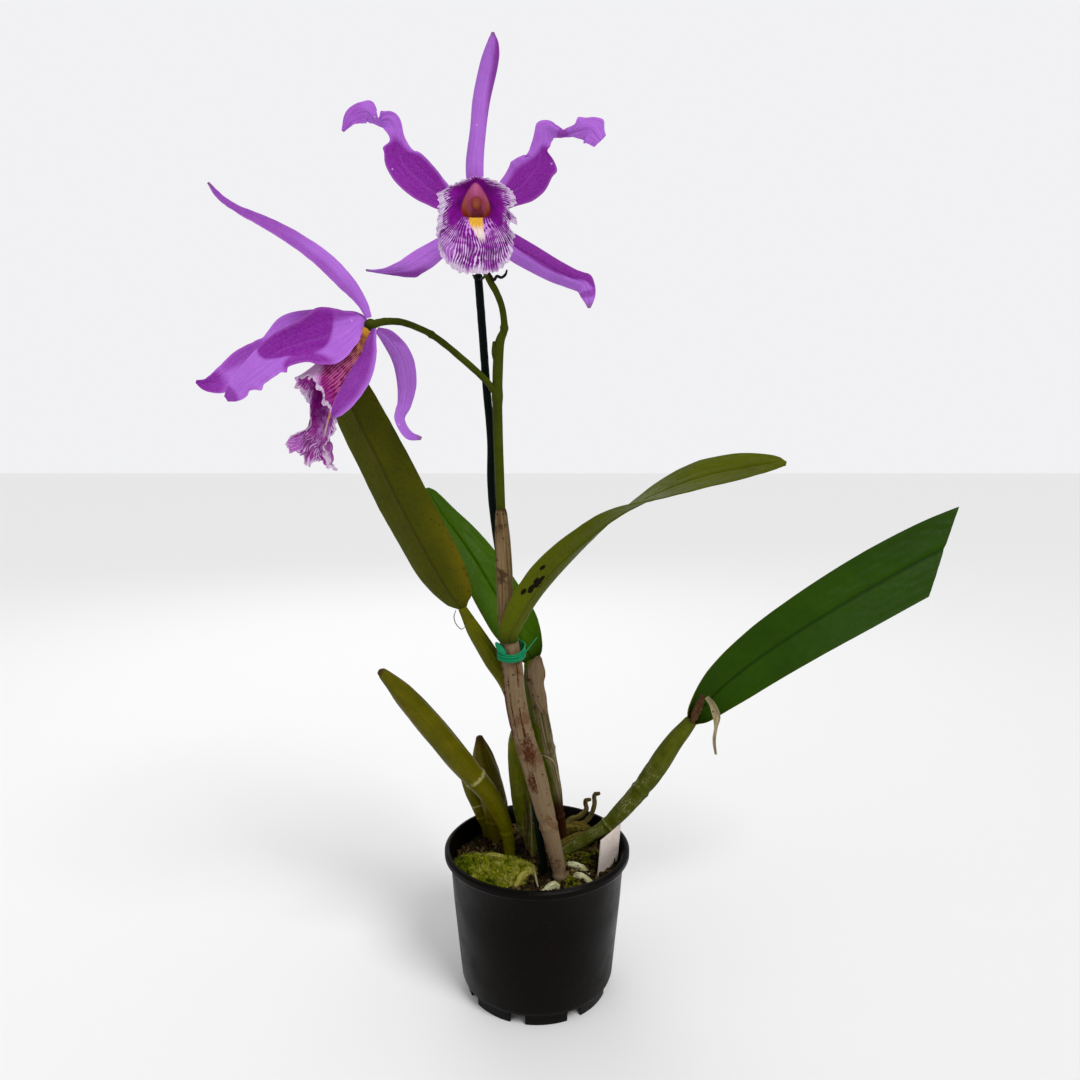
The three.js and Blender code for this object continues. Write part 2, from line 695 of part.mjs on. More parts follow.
const LIP_TUBE = [
  [2.3, 3.5, 3.5, 0],
  [9, 4.8, 5.4, -0.4],
  [20, 6.6, 8.4, -0.8],
  [33, 7.8, 10, 0],
];
const TOP_LIP_MARGIN = [
  [0, 40, 50],
  [9, 39.5, 50],
  [16.5, 34, 49.5],
  [19.5, 26, 48.5],
  [20, 18, 47],
  [20.5, 9, 45],
  [21, 1, 43.5],
  [19, -6, 42],
  [13, -10.5, 41],
  [6, -12, 40],
  [0, -12.5, 40],
];
const LEFT_LIP_MARGIN = [
  [0, 26, 80],
  [13, 30, 79],
  [20, 26, 75],
  [16, 20, 67],
  [9, 15, 60],
  [11, 10, 54],
  [13, 4, 52],
  [14, -4, 50],
  [11, -8, 48],
  [6, -9.5, 47],
  [0, -10, 47],
];
const COLUMN = [
  [0, -4.4, 0, 2.3],
  [0, -12, 1, 3],
  [0, -20, 2.2, 4],
  [0, -27, 2.4, 4.9],
  [0, -31, 1, 4.4],
  [0, -33, -1.2, 2.6],
];

// Tepal rows: x, y, z from the bloom's centre, width, turn, curl, from the base outwards.
const TOP_TEPALS = {
  dorsal_sepal: [[
    [0, 0.6, 4.1, 3.6, 0, 10],
    [-0.6, 1, 18, 9, 0, -30],
    [-1, 2, 32, 12, 0, -62],
    [0.5, 3, 49, 12, 4, -75],
    [3, 3, 65, 13, 8, -75],
    [7.5, 1, 81, 12, 6, -62],
    [10, -1, 90, 8.5, 0, -40],
    [9.6, -2, 96.5, 1.4, 0, -10],
  ], 0, 0],
  left_petal: [[
    [-3.4, -0.5, 2.1, 3.6, 0, 10],
    [-11, -1.5, 6, 9, 4, 14],
    [-21, -2, 11.5, 16, 6, 22],
    [-33.5, -3, 21, 22, 8, 30],
    [-42, -4, 30, 19, 12, 24],
    [-46, -5.5, 40, 12, 8, 10],
    [-49.5, -7, 46.5, 11, -14, -6],
    [-54.5, -8.5, 49.5, 7.5, -52, -10],
    [-60.5, -10, 51.5, 10, -20, -16],
    [-66.5, -12.5, 49.5, 10, -12, -16],
    [-71, -15, 41.5, 1.6, -10, 0],
  ], 1.2, 3],
  right_petal: [[
    [3.4, -0.5, 2.1, 3.6, 0, 10],
    [10, -1.5, 7, 10, -4, 14],
    [18, -2, 12.5, 17, -6, 22],
    [28, -3, 19, 26, -8, 30],
    [34, -4, 27, 22, -10, 24],
    [35.5, -5, 36, 13, -4, 10],
    [40, -6.5, 43, 11, 20, 0],
    [48, -7.5, 42.5, 6, 66, -8],
    [55, -8.5, 43.5, 8, 30, -10],
    [61.5, -10.5, 42.5, 13, 8, -14],
    [67.5, -13, 38.5, 9, 4, -8],
  ], 1.2, 3],
  left_sepal: [[
    [-3.4, 0.7, -2.4, 3.4, 0, 10],
    [-12, 0.5, -9, 8, 0, -10],
    [-22.5, 0, -16, 12, -6, -30],
    [-30, -1, -21, 15, -14, -36],
    [-38, -3, -26, 14, -28, -36],
    [-45.5, -6, -28.5, 11, -48, -26],
    [-53.5, -9, -30, 7, -62, -14],
    [-61, -12, -30.2, 1.4, -62, 0],
  ], 0, 0],
  right_sepal: [[
    [3.4, 0.7, -2.4, 3.4, 0, 10],
    [11, 0.5, -8.5, 9, 0, -10],
    [20.5, 0, -15.5, 16, 0, -46],
    [32, -1, -22, 18, 4, -58],
    [43, -2, -28, 17, 8, -60],
    [52.5, -4, -32.5, 14, 10, -52],
    [60, -6, -36.5, 12, 6, -40],
    [63.5, -7, -43, 9, 0, -24],
    [63, -8, -50, 1.6, 0, 0],
  ], 0, 0],
};
const LEFT_TEPALS = {
  dorsal_sepal: [[
    [-0.8, 0.3, 4, 3.6, 30, 0],
    [-5, 0, 13.5, 9, 38, -20],
    [-13, -2, 24.5, 13, 40, -30],
    [-24, -4, 36, 13.5, 42, -34],
    [-37.5, -7, 45.5, 12.5, 44, -34],
    [-53.5, -11, 53.5, 9.5, 46, -28],
    [-65.5, -15, 58.5, 6.5, 48, -20],
    [-73.5, -18, 63.5, 4.4, 50, -10],
    [-78.5, -20, 70, 1.4, 50, 0],
  ], 0, 0],
  near_petal: [[
    [-3.7, -2.4, 3, 3.2, -10, 0],
    [-8, -10.5, 1.6, 10, -14, 10],
    [-14.5, -18.5, -4.5, 23, -16, 22],
    [-24, -25, -10, 31, -14, 30],
    [-37, -29, -15, 26, -6, 34],
    [-50, -30, -21.5, 23, 0, 14],
    [-62, -29, -28.5, 20, 6, -14],
    [-72, -27, -35, 16, 10, -20],
    [-78, -24, -38.5, 2.4, 10, 0],
  ], 1.6, 3],
  far_petal: [[
    [-2.6, 3.2, 1.6, 3.6, -10, 0],
    [-8.5, 7, 2.5, 10, -14, -14],
    [-17, 10, 1, 15, -16, -26],
    [-32, 13, -3.5, 18, -14, -30],
    [-47, 13, -11.5, 18, -6, -20],
    [-61, 11, -21, 15, 4, 10],
    [-75, 7, -28.5, 13, 8, 22],
    [-87, 3, -33, 10, 8, 20],
    [-98, -1, -32.5, 1.6, 0, 0],
  ], 1.8, 3.5],
  outer_sepal: [[
    [3, 3, -2.2, 3.4, 10, 0],
    [9, 6, -7, 10, 14, -22],
    [15.5, 9, -17.5, 13.5, 10, -34],
    [18, 11, -31, 12.5, 4, -34],
    [16, 12, -42.5, 8.5, -14, -24],
    [13, 11, -52, 8, -44, -10],
    [18, 9, -61, 7, -40, -10],
    [26, 7, -63, 2, -20, 0],
  ], 0, 0],
  inner_sepal: [[
    [3.9, -2.2, -1.5, 3.2, 20, 0],
    [4, -11.5, -9.5, 8, 24, -20],
    [3, -20, -18, 12, 18, -34],
    [-1, -27, -28.5, 14.5, 10, -40],
    [-7.5, -33, -38, 13, 4, -36],
    [-13.5, -37, -46, 9, 0, -20],
    [-18.5, -38, -51, 1.6, 0, 0],
  ], 0, 0],
};

// The top bloom's lip points straight out, and the left one's down to the left and forward.
const TOP_LIP_FORWARD = new THREE.Vector3(0.045, -1, 0).normalize();
const LEFT_LIP_FORWARD = new THREE.Vector3(-0.53, -0.37, -0.76).normalize();
const LEFT_LIP_UP = new THREE.Vector3(-0.45, -0.75, 0.45);

function addBloom(name, centre, tepals, margin, waves, forward, up) {
  const bloom = new THREE.Group();
  bloom.position.set(...centre);
  plant.add(bloom);
  for (const [piece, [rows, wave, rippleCount]] of Object.entries(tepals)) {
    const shape = blade(rows, TEPAL_THICKNESS, { steps: 16, across: 4, wave, waves: rippleCount });
    add(`${name}_${piece}`, shape, 0xa855c8, 0.55, bloom);
  }
  const facing = new THREE.Group();
  const backward = forward.clone().negate();
  const right = backward.clone().cross(up).normalize();
  facing.setRotationFromMatrix(
    new THREE.Matrix4().makeBasis(right, backward, right.clone().cross(backward)));
  bloom.add(facing);
  add(`${name}_lip`, lip(LIP_TUBE, margin, 1.2, waves), 0xb14fc0, 0.6, facing);
  add(`${name}_column`, stalk(COLUMN, { steps: 10 }), 0xc98aa8, 0.5, facing);
}

addBloom("top_bloom", TOP_BLOOM, TOP_TEPALS, TOP_LIP_MARGIN, 9,
  TOP_LIP_FORWARD, new THREE.Vector3(0, 0, 1));
addBloom("left_bloom", LEFT_BLOOM, LEFT_TEPALS, LEFT_LIP_MARGIN, 9,
  LEFT_LIP_FORWARD, LEFT_LIP_UP);

export default plant;
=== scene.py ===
# %% [markdown]
# # A cattleya orchid in its pot
# This lesson dresses a measured plant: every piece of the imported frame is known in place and
# size, and here each one gets its fine surface. The plant is made of blades (petals, leaves and
# papery sheaths), of round growth (canes, bulbs, stems and roots), of one moulded pot, and of
# the loose stuff on top of the mix. One helper for each kind keeps the lesson short.

# %% Load the frame
import json
import math
import random

import bpy
from mathutils import Matrix, Vector, noise

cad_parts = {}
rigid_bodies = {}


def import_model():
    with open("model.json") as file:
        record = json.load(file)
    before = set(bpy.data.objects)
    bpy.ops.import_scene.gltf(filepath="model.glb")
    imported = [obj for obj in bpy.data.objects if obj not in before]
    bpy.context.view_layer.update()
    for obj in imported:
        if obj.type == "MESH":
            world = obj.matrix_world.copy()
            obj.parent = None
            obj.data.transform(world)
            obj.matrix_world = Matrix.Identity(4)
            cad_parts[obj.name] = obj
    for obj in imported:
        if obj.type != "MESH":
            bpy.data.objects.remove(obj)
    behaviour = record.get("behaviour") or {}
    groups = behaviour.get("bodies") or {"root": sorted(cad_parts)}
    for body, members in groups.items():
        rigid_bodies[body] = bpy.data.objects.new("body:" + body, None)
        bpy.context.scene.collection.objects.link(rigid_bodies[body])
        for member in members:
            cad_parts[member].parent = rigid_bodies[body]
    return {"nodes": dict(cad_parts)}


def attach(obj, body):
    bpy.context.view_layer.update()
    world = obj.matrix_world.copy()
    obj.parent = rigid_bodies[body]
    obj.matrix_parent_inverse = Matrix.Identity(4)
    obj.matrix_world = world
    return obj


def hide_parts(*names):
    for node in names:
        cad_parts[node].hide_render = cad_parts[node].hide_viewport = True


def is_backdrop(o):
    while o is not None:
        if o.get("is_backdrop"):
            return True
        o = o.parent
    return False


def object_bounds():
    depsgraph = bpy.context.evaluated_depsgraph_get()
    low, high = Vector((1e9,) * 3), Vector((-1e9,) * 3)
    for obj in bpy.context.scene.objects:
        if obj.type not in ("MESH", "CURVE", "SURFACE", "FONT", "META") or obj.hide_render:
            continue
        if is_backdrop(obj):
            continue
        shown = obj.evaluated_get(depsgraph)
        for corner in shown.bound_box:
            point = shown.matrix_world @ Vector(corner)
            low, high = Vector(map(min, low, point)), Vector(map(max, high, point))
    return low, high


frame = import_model()
cad_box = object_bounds()
MM = 0.001
print("nodes in the frame:", len(frame["nodes"]))
print("box of the frame in mm:", [[round(c / MM, 1) for c in corner] for corner in cad_box])

# %% [markdown]
# ## Camera, floor and light
# The plant stands on a pale floor. A broad, even key light from the upper right front gives each
# petal a bright and a shaded part, a weaker one from the left fills the shadows, and one from
# behind lets the thin petals glow a little.

# %% Camera
bpy.ops.object.select_all(action="DESELECT")
CAMERA_PLACE, CAMERA_PITCH = (0.002, -0.545, 0.382), 7.82
LENS, SENSOR = 28.33, 36
bpy.ops.object.camera_add(location=CAMERA_PLACE, rotation=(math.radians(90 - CAMERA_PITCH), 0, 0))
camera = bpy.context.object
camera.data.lens = LENS
camera.data.sensor_width = SENSOR
camera.data.clip_start = 0.01
bpy.context.scene.camera = camera

# %% Floor
bpy.ops.mesh.primitive_plane_add(size=12)
floor = bpy.context.object
floor.name = "floor"
pale_floor = bpy.data.materials.new("pale_floor")
pale_floor.use_nodes = True
floor_shader = pale_floor.node_tree.nodes["Principled BSDF"]
floor_shader.inputs["Base Color"].default_value = (0.86, 0.86, 0.855, 1)
floor_shader.inputs["Roughness"].default_value = 0.8
floor.data.materials.append(pale_floor)
floor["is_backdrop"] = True

# %% Lights and sky
# Kind, place in metres, size (degrees for the sun, metres for an area) and power.
LIGHTS = {
    "key_light": ("SUN", (0.55, -0.75, 1.35), 24, 1.75),
    "fill_light": ("AREA", (-1.1, -0.9, 0.7), 1.2, 2.5),
    "back_light": ("AREA", (-0.3, 1.1, 1.1), 1.0, 3.5),
}
for light_name, (kind, place, size, power) in LIGHTS.items():
    aim = Vector((0, 0, 0.3)) - Vector(place)
    bpy.ops.object.light_add(type=kind, location=place, rotation=aim.to_track_quat("-Z", "Y").to_euler())
    light = bpy.context.object
    light.name = light_name
    light.data.energy = power
    if kind == "SUN":
        light.data.angle = math.radians(size)
    else:
        light.data.size = size

sky = bpy.data.worlds.new("soft_sky")
sky.use_nodes = True
backdrop = sky.node_tree.nodes["Background"]
backdrop.inputs["Color"].default_value = (0.98, 0.98, 1, 1)
seen = sky.node_tree.nodes.new("ShaderNodeLightPath")
strength = sky.node_tree.nodes.new("ShaderNodeMapRange")
strength.inputs["To Min"].default_value = 0.55  # what lights the plant
strength.inputs["To Max"].default_value = 0.9  # what the camera sees behind the floor
sky.node_tree.links.new(seen.outputs["Is Camera Ray"], strength.inputs["Value"])
sky.node_tree.links.new(strength.outputs["Result"], backdrop.inputs["Strength"])
bpy.context.scene.world = sky
bpy.context.scene.view_settings.view_transform = "Standard"
print("camera, floor and", len(LIGHTS), "lights are in place")

# %% [markdown]
# ## Shaping helpers
# Each row of numbers along a blade or a stalk says where its middle is and how wide it is there.
# A smooth curve through the rows gives every point between. A flat grid is then laid along that
# curve, so each piece keeps a tidy UV map: across in U, along in V.

# %% Smooth rows
FRONT = Vector((0, -1, 0))


def along(rows, t):
    last = len(rows) - 1
    place = min(max(t, 0), 1) * last
    i = min(int(place), last - 1)
    f = place - i
    blended = []
    for column in range(len(rows[0])):
        b, c = rows[i][column], rows[i + 1][column]
        a = rows[i - 1][column] if i > 0 else 2 * b - c
        d = rows[i + 2][column] if i + 2 <= last else 2 * c - b
        blended.append(b + 0.5 * f * (c - a + f * (2 * a - 5 * b + 4 * c - d + f * (3 * (b - c) + d - a))))
    return blended


def smoothstep(low, high, x):
    t = min(max((x - low) / (high - low), 0), 1)
    return t * t * (3 - 2 * t)


def grain(x, y, z=0.0):
    return noise.noise(Vector((x, y, z)))


# %% A grid laid along a piece
def edit(operator, **settings):
    """Runs one operator on the whole mesh of the active piece."""
    bpy.ops.object.mode_set(mode="EDIT")
    bpy.ops.mesh.select_all(action="SELECT")
    operator(**settings)
    bpy.ops.object.mode_set(mode="OBJECT")


def laid_grid(name, across, steps, place, ring=False, shade_and_dust=None):
    """Adds a grid of across by steps faces and puts point (i, j) where place(i, j) says, in mm.

    shade_and_dust(i, j) is a value from 0 to 1 that the piece's finish can read: the deep colour and
    painted shade on a tepal, dust on a lip's front lobe."""
    bpy.ops.object.select_all(action="DESELECT")
    bpy.ops.mesh.primitive_grid_add(x_subdivisions=across, y_subdivisions=steps, size=1, calc_uvs=True)
    piece = bpy.context.object
    piece.name = name
    piece.data.name = name
    for k, vertex in enumerate(piece.data.vertices):
        j, i = divmod(k, across + 1)
        vertex.co = place(i, j) * MM
    if shade_and_dust:
        values = [shade_and_dust(k % (across + 1), k // (across + 1)) for k in range(len(piece.data.vertices))]
        piece.data.attributes.new("shade_and_dust", "FLOAT", "POINT").data.foreach_set("value", values)
    if ring:
        edit(bpy.ops.mesh.remove_doubles, threshold=1e-6)
    bpy.ops.object.shade_smooth()
    return piece


# %% Blades: petals, leaves and sheaths
EDGE_LAG = 0.4  # how much the edges of a blade swing out of step with its middle


def blade_line(rows, t):
    x, y, z, width, turn, curl = along(rows, t)
    tangent = Vector(along(rows, min(t + 0.01, 1))[:3]) - Vector(along(rows, max(t - 0.01, 0))[:3])
    tangent.normalize()
    level = (FRONT - tangent * FRONT.dot(tangent)).normalized()
    flat = tangent.cross(level)
    up = level * math.cos(math.radians(turn)) + flat * math.sin(math.radians(turn))
    return Vector((x, y, z)), tangent.cross(up), up, width / 2, math.radians(curl)


def blade(name, rows, across, steps, relief, centre=(0, 0, 0), wave=0, waves=3, bumps=(), shade_and_dust=None):
    """s runs from -1 to 1 across the blade, t from 0 to 1 along it. relief(s, t): mm towards the face.
    wave: mm that its edges swing. bumps: (side, place along, length along, mm)."""
    lines = [blade_line(rows, j / steps) for j in range(steps + 1)]
    centre = Vector(centre)

    def place(i, j):
        middle, side, up, half, bend = lines[j]
        s, t = 2 * i / across - 1, j / steps
        reach = s if abs(bend) < 1e-3 else math.sin(bend * s) / bend
        rise = 0 if abs(bend) < 1e-3 else (1 - math.cos(bend * s)) / bend
        for bump_side, bump_at, bump_length, height in bumps:
            if bump_side * s > 0:
                reach += bump_side * s * s * height / half * math.exp(-((t - bump_at) / bump_length) ** 2)
        lift = wave * s * s * math.sin(2 * math.pi * (waves * t + EDGE_LAG * s)) * math.sin(math.pi * t)
        lift += relief(s, t)
        return centre + middle + side * (reach * half) + up * (rise * half + lift)

    glow = shade_and_dust and (lambda i, j: shade_and_dust(2 * i / across - 1, j / steps))
    return laid_grid(name, across, steps, place, shade_and_dust=glow)


# %% Modifiers and smoothing
def pick_only(piece):
    """Makes this piece the only one that an operator acts on."""
    bpy.ops.object.select_all(action="DESELECT")
    piece.select_set(True)
    bpy.context.view_layer.objects.active = piece


def apply(piece, kind, **settings):
    """Adds a modifier with these settings and applies it at once."""
    pick_only(piece)
    modifier = piece.modifiers.new(kind.lower(), kind)
    for setting, value in settings.items():
        setattr(modifier, setting, value)
    bpy.ops.object.modifier_apply(modifier=modifier.name)


def smooth_by_angle(piece, degrees):
    pick_only(piece)
    bpy.ops.object.shade_smooth_by_angle(angle=math.radians(degrees))


def settled(piece):
    """Puts the piece's place, turn and size into its mesh."""
    pick_only(piece)
    bpy.ops.object.transform_apply(location=True, rotation=True, scale=True)


# %% The thickness of a blade
THINNEST = 0.02  # the least share of the thickness


def thicken(piece, thickness, edge, finishes):
    """Gives a blade its thickness in mm, of which the share edge is left at its edges. finishes: its
    upper face's, and its lower face's where that differs."""
    for finish in finishes:
        piece.data.materials.append(finish)
    group = piece.vertex_groups.new(name="body")
    across_of = {}
    uv = piece.data.uv_layers[0].data
    for loop in piece.data.loops:
        across_of[loop.vertex_index] = uv[loop.index].uv[0]
    for index, u in across_of.items():
        group.add([index], max(THINNEST, 1 - (1 - edge) * abs(2 * u - 1) ** 3), "REPLACE")
    last = len(finishes) - 1
    apply(piece, "SOLIDIFY", thickness=thickness * MM, offset=0, vertex_group="body",
          thickness_vertex_group=THINNEST, material_offset=last, material_offset_rim=last)
    smooth_by_angle(piece, 50)


# %% Stalks: canes, bulbs, stems and roots
def stalk_line(rows, t, reference):
    middle = Vector(along(rows, t)[:3])
    tangent = Vector(along(rows, min(t + 0.01, 1))[:3]) - Vector(along(rows, max(t - 0.01, 0))[:3])
    tangent.normalize()
    first = (reference - tangent * reference.dot(tangent)).normalized()
    return middle, tangent, first, tangent.cross(first), along(rows, t)[3]


def stalk(name, rows, around, steps, relief=None, tip=1.0, reference=FRONT):
    """A closed round piece. relief(angle, t) adds mm to the radius. tip flattens its rounded ends.
    reference: the direction that its seam faces."""
    caps = 4
    total = steps + 2 * caps

    def ring(j):
        if j < caps:
            bend = math.pi / 2 * j / caps
            return 0, math.sin(bend), -math.cos(bend)
        if j > total - caps:
            bend = math.pi / 2 * (total - j) / caps
            return 1, math.sin(bend), math.cos(bend)
        return (j - caps) / steps, 1, 0

    lines = {}
    for j in range(total + 1):
        t, share, end = ring(j)
        lines[j] = (t, share, end, stalk_line(rows, t, reference))

    def place(i, j):
        t, share, end, (middle, tangent, first, second, radius) = lines[j]
        angle = 2 * math.pi * i / around
        if relief and share > 0:
            radius += relief(angle, t) * (1 if end == 0 else share)
        outward = first * math.cos(angle) + second * math.sin(angle)
        return middle + tangent * (end * tip * along(rows, t)[3] * 0.6) + outward * (radius * share)

    return laid_grid(name, around, total, place, ring=True)


# %% Finish, body and nodes of a piece
def dress(piece, material_slot, *nodes, finish=None):
    """Says which body the piece moves with, which finish it has and which nodes it stands for."""
    if finish:
        piece.data.materials.append(finish)
    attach(piece, "root")
    if nodes:
        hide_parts(*nodes)
    print(piece.name, "has", len(piece.data.polygons), "faces")


# %% [markdown]
# ## Finishes
# A plant has no single flat colour anywhere: petals are veined, leaves mottled, dry sheaths
# streaked and stained. Each such effect is a small node group that gives a mask, so that every
# finish can mix its own colours with it. The groups read a position that the finish hands them.

# %% Colours and node helpers
def tint(red, green, blue):
    """A colour picked on a screen, 0 to 255 each, as the linear numbers that a shader wants."""
    linear = [((c / 255 + 0.055) / 1.055) ** 2.4 if c > 10 else c / 255 / 12.92 for c in (red, green, blue)]
    return (*linear, 1)


def feed(node, inputs):
    """Gives a node its inputs: each value is a number, a colour or the socket to link."""
    for key, value in inputs.items():
        if isinstance(value, bpy.types.NodeSocket):
            node.id_data.links.new(value, node.inputs[key])
        else:
            node.inputs[key].default_value = value
    return node


def put(kind, inputs, tree=None, **settings):
    """Adds a node to this tree, or else to the tree of the sockets that it is fed with."""
    tree = tree or next(value.id_data for value in inputs.values() if isinstance(value, bpy.types.NodeSocket))
    node = tree.nodes.new("ShaderNode" + kind)
    for setting, value in settings.items():
        setattr(node, setting, value)
    return feed(node, inputs)


def mix(factor, first, second, way="MIX"):
    return put("Mix", {0: factor, 6: first, 7: second}, data_type="RGBA", blend_type=way).outputs[2]


def math_node(operation, first, second=0.5, clamp=False):
    return put("Math", {0: first, 1: second}, operation=operation, use_clamp=clamp).outputs[0]


def times(first, second):
    return math_node("MULTIPLY", first, second)


def plus(first, second, clamp=False):
    return math_node("ADD", first, second, clamp)


def minus(first, second):
    return math_node("SUBTRACT", first, second)


def lay(color, *layers):
    """Lays colours one over another: (colour, mask, how much of it at most) each."""
    for over, mask, amount in layers:
        color = mix(times(mask, amount), color, over)
    return color


def span(value, low, high, start=0.0, stop=1.0):
    """Where value runs from low to high, this runs smoothly from start to stop."""
    inputs = {"Value": value, "From Min": low, "From Max": high, "To Min": start, "To Max": stop}
    return put("MapRange", inputs, interpolation_type="SMOOTHSTEP").outputs[0]


def between(mask, start, stop):
    """A mask turned into the values from start to stop."""
    return span(mask, 0.0, 1.0, start, stop)


def ramp(factor, stops):
    """A colour ramp through stops of (place, colour), the first at 0 and the last at 1."""
    node = put("ValToRGB", {"Fac": factor})
    elements = node.color_ramp.elements
    elements[0].color, elements[1].color = stops[0][1], stops[-1][1]
    for at, color in stops[1:-1]:
        elements.new(at).color = color
    return node.outputs["Color"]


def new_group(name, inputs, *outputs):
    """A node group with its sockets. inputs: the default of each, a number or a vector. It puts out masks."""
    tree = bpy.data.node_groups.new(name, "ShaderNodeTree")
    for socket_name, default in inputs.items():
        kind = "NodeSocketVector" if isinstance(default, tuple) else "NodeSocketFloat"
        tree.interface.new_socket(socket_name, in_out="INPUT", socket_type=kind).default_value = default
    for socket_name in outputs:
        tree.interface.new_socket(socket_name, in_out="OUTPUT", socket_type="NodeSocketFloat")
    return tree, tree.nodes.new("NodeGroupInput").outputs, tree.nodes.new("NodeGroupOutput").inputs


def give(wanted, **values):
    """Links what a node group puts out to its output sockets."""
    for name, value in values.items():
        value.id_data.links.new(value, wanted[name.replace("_", " ")])


def effect(group, inputs):
    """Places a node group in a finish and gives its outputs."""
    return put("Group", inputs, node_tree=group).outputs


# %% Effect: soft mottling
mottle, given, wanted = new_group("mottle", {"Position": (0, 0, 0), "Size": 10.0, "Contrast": 0.5}, "Mask")
cloud = put("TexNoise",
            {"Vector": given["Position"], "Scale": given["Size"], "Detail": 5.0, "Roughness": 0.62})
away = minus(cloud.outputs["Fac"], 0.5)
stronger = times(away, times(given["Contrast"], 4.0))
give(wanted, Mask=plus(stronger, 0.5, clamp=True))


def clouds(position, size, contrast):
    return effect(mottle, {"Position": position, "Size": size, "Contrast": contrast})["Mask"]


# %% Effect: round spots, only on a share of the places
spots, given, wanted = new_group(
    "spots", {"Position": (0, 0, 0), "Density": 100.0, "Reach": 0.3, "Share": 0.5}, "Mask")
cells = put("TexVoronoi", {"Vector": given["Position"], "Scale": given["Density"]})
inner = times(given["Reach"], 0.6)
round_spot = span(cells.outputs["Distance"], given["Reach"], inner)
chance = put("SeparateColor", {"Color": cells.outputs["Color"]}).outputs[0]
chosen = math_node("LESS_THAN", chance, given["Share"])
give(wanted, Mask=times(round_spot, chosen))


def dotted(position, density, reach, share):
    return effect(spots, {"Position": position, "Density": density, "Reach": reach, "Share": share})["Mask"]


# %% Effect: streaks along a piece, from its UV map
streaks, given, wanted = new_group("streaks",
                                   {"UV": (0, 0, 0), "Across": 30.0, "Along": 3.0, "Contrast": 0.5}, "Mask")
density = put("CombineXYZ", {"X": given["Across"], "Y": given["Along"]}).outputs[0]
drawn = put("VectorMath", {0: given["UV"], 1: density}, operation="MULTIPLY").outputs[0]
lines = put("TexNoise", {"Vector": drawn, "Scale": 1.0, "Detail": 3.0, "Distortion": 0.35})
away = minus(lines.outputs["Fac"], 0.5)
stronger = times(away, times(given["Contrast"], 4.0))
give(wanted, Mask=plus(stronger, 0.5, clamp=True))


def streaked(uv, across, lengthways, contrast):
    return effect(streaks, {"UV": uv, "Across": across, "Along": lengthways, "Contrast": contrast})["Mask"]


# %% Effect: a net of veins that run along a piece and branch
veins, given, wanted = new_group(
    "veins", {"UV": (0, 0, 0), "Across": 30.0, "Along": 6.0, "Width": 0.1, "Wander": 0.3}, "Mask")
density = put("CombineXYZ", {"X": given["Across"], "Y": given["Along"]}).outputs[0]
drawn = put("VectorMath", {0: given["UV"], 1: density}, operation="MULTIPLY").outputs[0]
bend = put("TexNoise", {"Vector": drawn, "Scale": 0.6, "Detail": 2.0})
bent = put("VectorMath", {0: bend.outputs["Color"], "Scale": given["Wander"]}, operation="SCALE")
moved = put("VectorMath", {0: drawn, 1: bent.outputs[0]}, operation="ADD").outputs[0]
net = put("TexVoronoi", {"Vector": moved, "Scale": 1.0}, feature="DISTANCE_TO_EDGE",
          voronoi_dimensions="2D")
give(wanted, Mask=span(net.outputs["Distance"], given["Width"], 0.0))

# %% Effect: lines that fan out from a piece's root and fork on the way
fan_lines, given, wanted = new_group("fan_lines",
                                     {"UV": (0, 0, 0), "Position": (0, 0, 0), "Count": 50.0, "Fork": 0.65,
                                      "Width": 0.2, "Wander": 0.8}, "Mask")
parts = put("SeparateXYZ", {"Vector": given["UV"]})
sway = put("TexNoise", {"Vector": given["Position"], "Scale": 65.0, "Detail": 1.0})
swell = put("TexNoise", {"Vector": given["Position"], "Scale": 330.0, "Detail": 2.0})
offset = times(minus(sway.outputs["Fac"], 0.5), given["Wander"])
turns = plus(times(parts.outputs["X"], given["Count"]), times(offset, 2.0))
width = times(given["Width"], span(swell.outputs["Fac"], 0.35, 0.65, 0.35, 1.5))
narrow = times(width, 0.5)
single = span(math_node("PINGPONG", turns, 0.5), width, narrow)
double = span(math_node("PINGPONG", times(turns, 2.0), 0.5), width, narrow)
forked_at = plus(given["Fork"], times(offset, 0.6))
past = minus(parts.outputs["Y"], forked_at)
forked = span(past, 0.0, 0.08)
kept = times(single, minus(1.0, forked))
both = plus(kept, times(double, forked))
give(wanted, Mask=both)


def fanned(uv, position, count, fork, width, wander):
    return effect(fan_lines, {"UV": uv, "Position": position, "Count": count, "Fork": fork,
                              "Width": width, "Wander": wander})["Mask"]


# %% Effect: the place on a blade, from its UV map
blade_place, given, wanted = new_group("blade_place", {"UV": (0, 0, 0)}, "Along", "Edge", "Midrib", "Tip",
                                       "Base")
parts = put("SeparateXYZ", {"Vector": given["UV"]})
double = times(parts.outputs["X"], 2.0)
sideways = math_node("ABSOLUTE", minus(double, 1.0))
give(wanted, Along=parts.outputs["Y"])
give(wanted, Edge=span(sideways, 0.82, 1.0))
give(wanted, Midrib=span(sideways, 0.1, 0.0))
give(wanted, Tip=span(parts.outputs["Y"], 0.93, 1.0))
give(wanted, Base=span(parts.outputs["Y"], 0.2, 0.0))

# %% Effect: an oval mark with a torn edge, on the UV map
oval_mark, given, wanted = new_group(
    "oval_mark", {"UV": (0, 0, 0), "Centre": (0, 0, 0), "Reach": (1, 1, 1), "Ragged": 0.5}, "Mask")
moved = put("VectorMath", {0: given["UV"], 1: given["Centre"]}, operation="SUBTRACT").outputs[0]
moved = put("VectorMath", {0: moved, 1: given["Reach"]}, operation="DIVIDE").outputs[0]
away = put("VectorMath", {0: moved}, operation="LENGTH").outputs["Value"]
torn = plus(away, span(given["Ragged"], 0.0, 1.0, -0.5, 0.5))
give(wanted, Mask=span(torn, 1.1, 0.8))


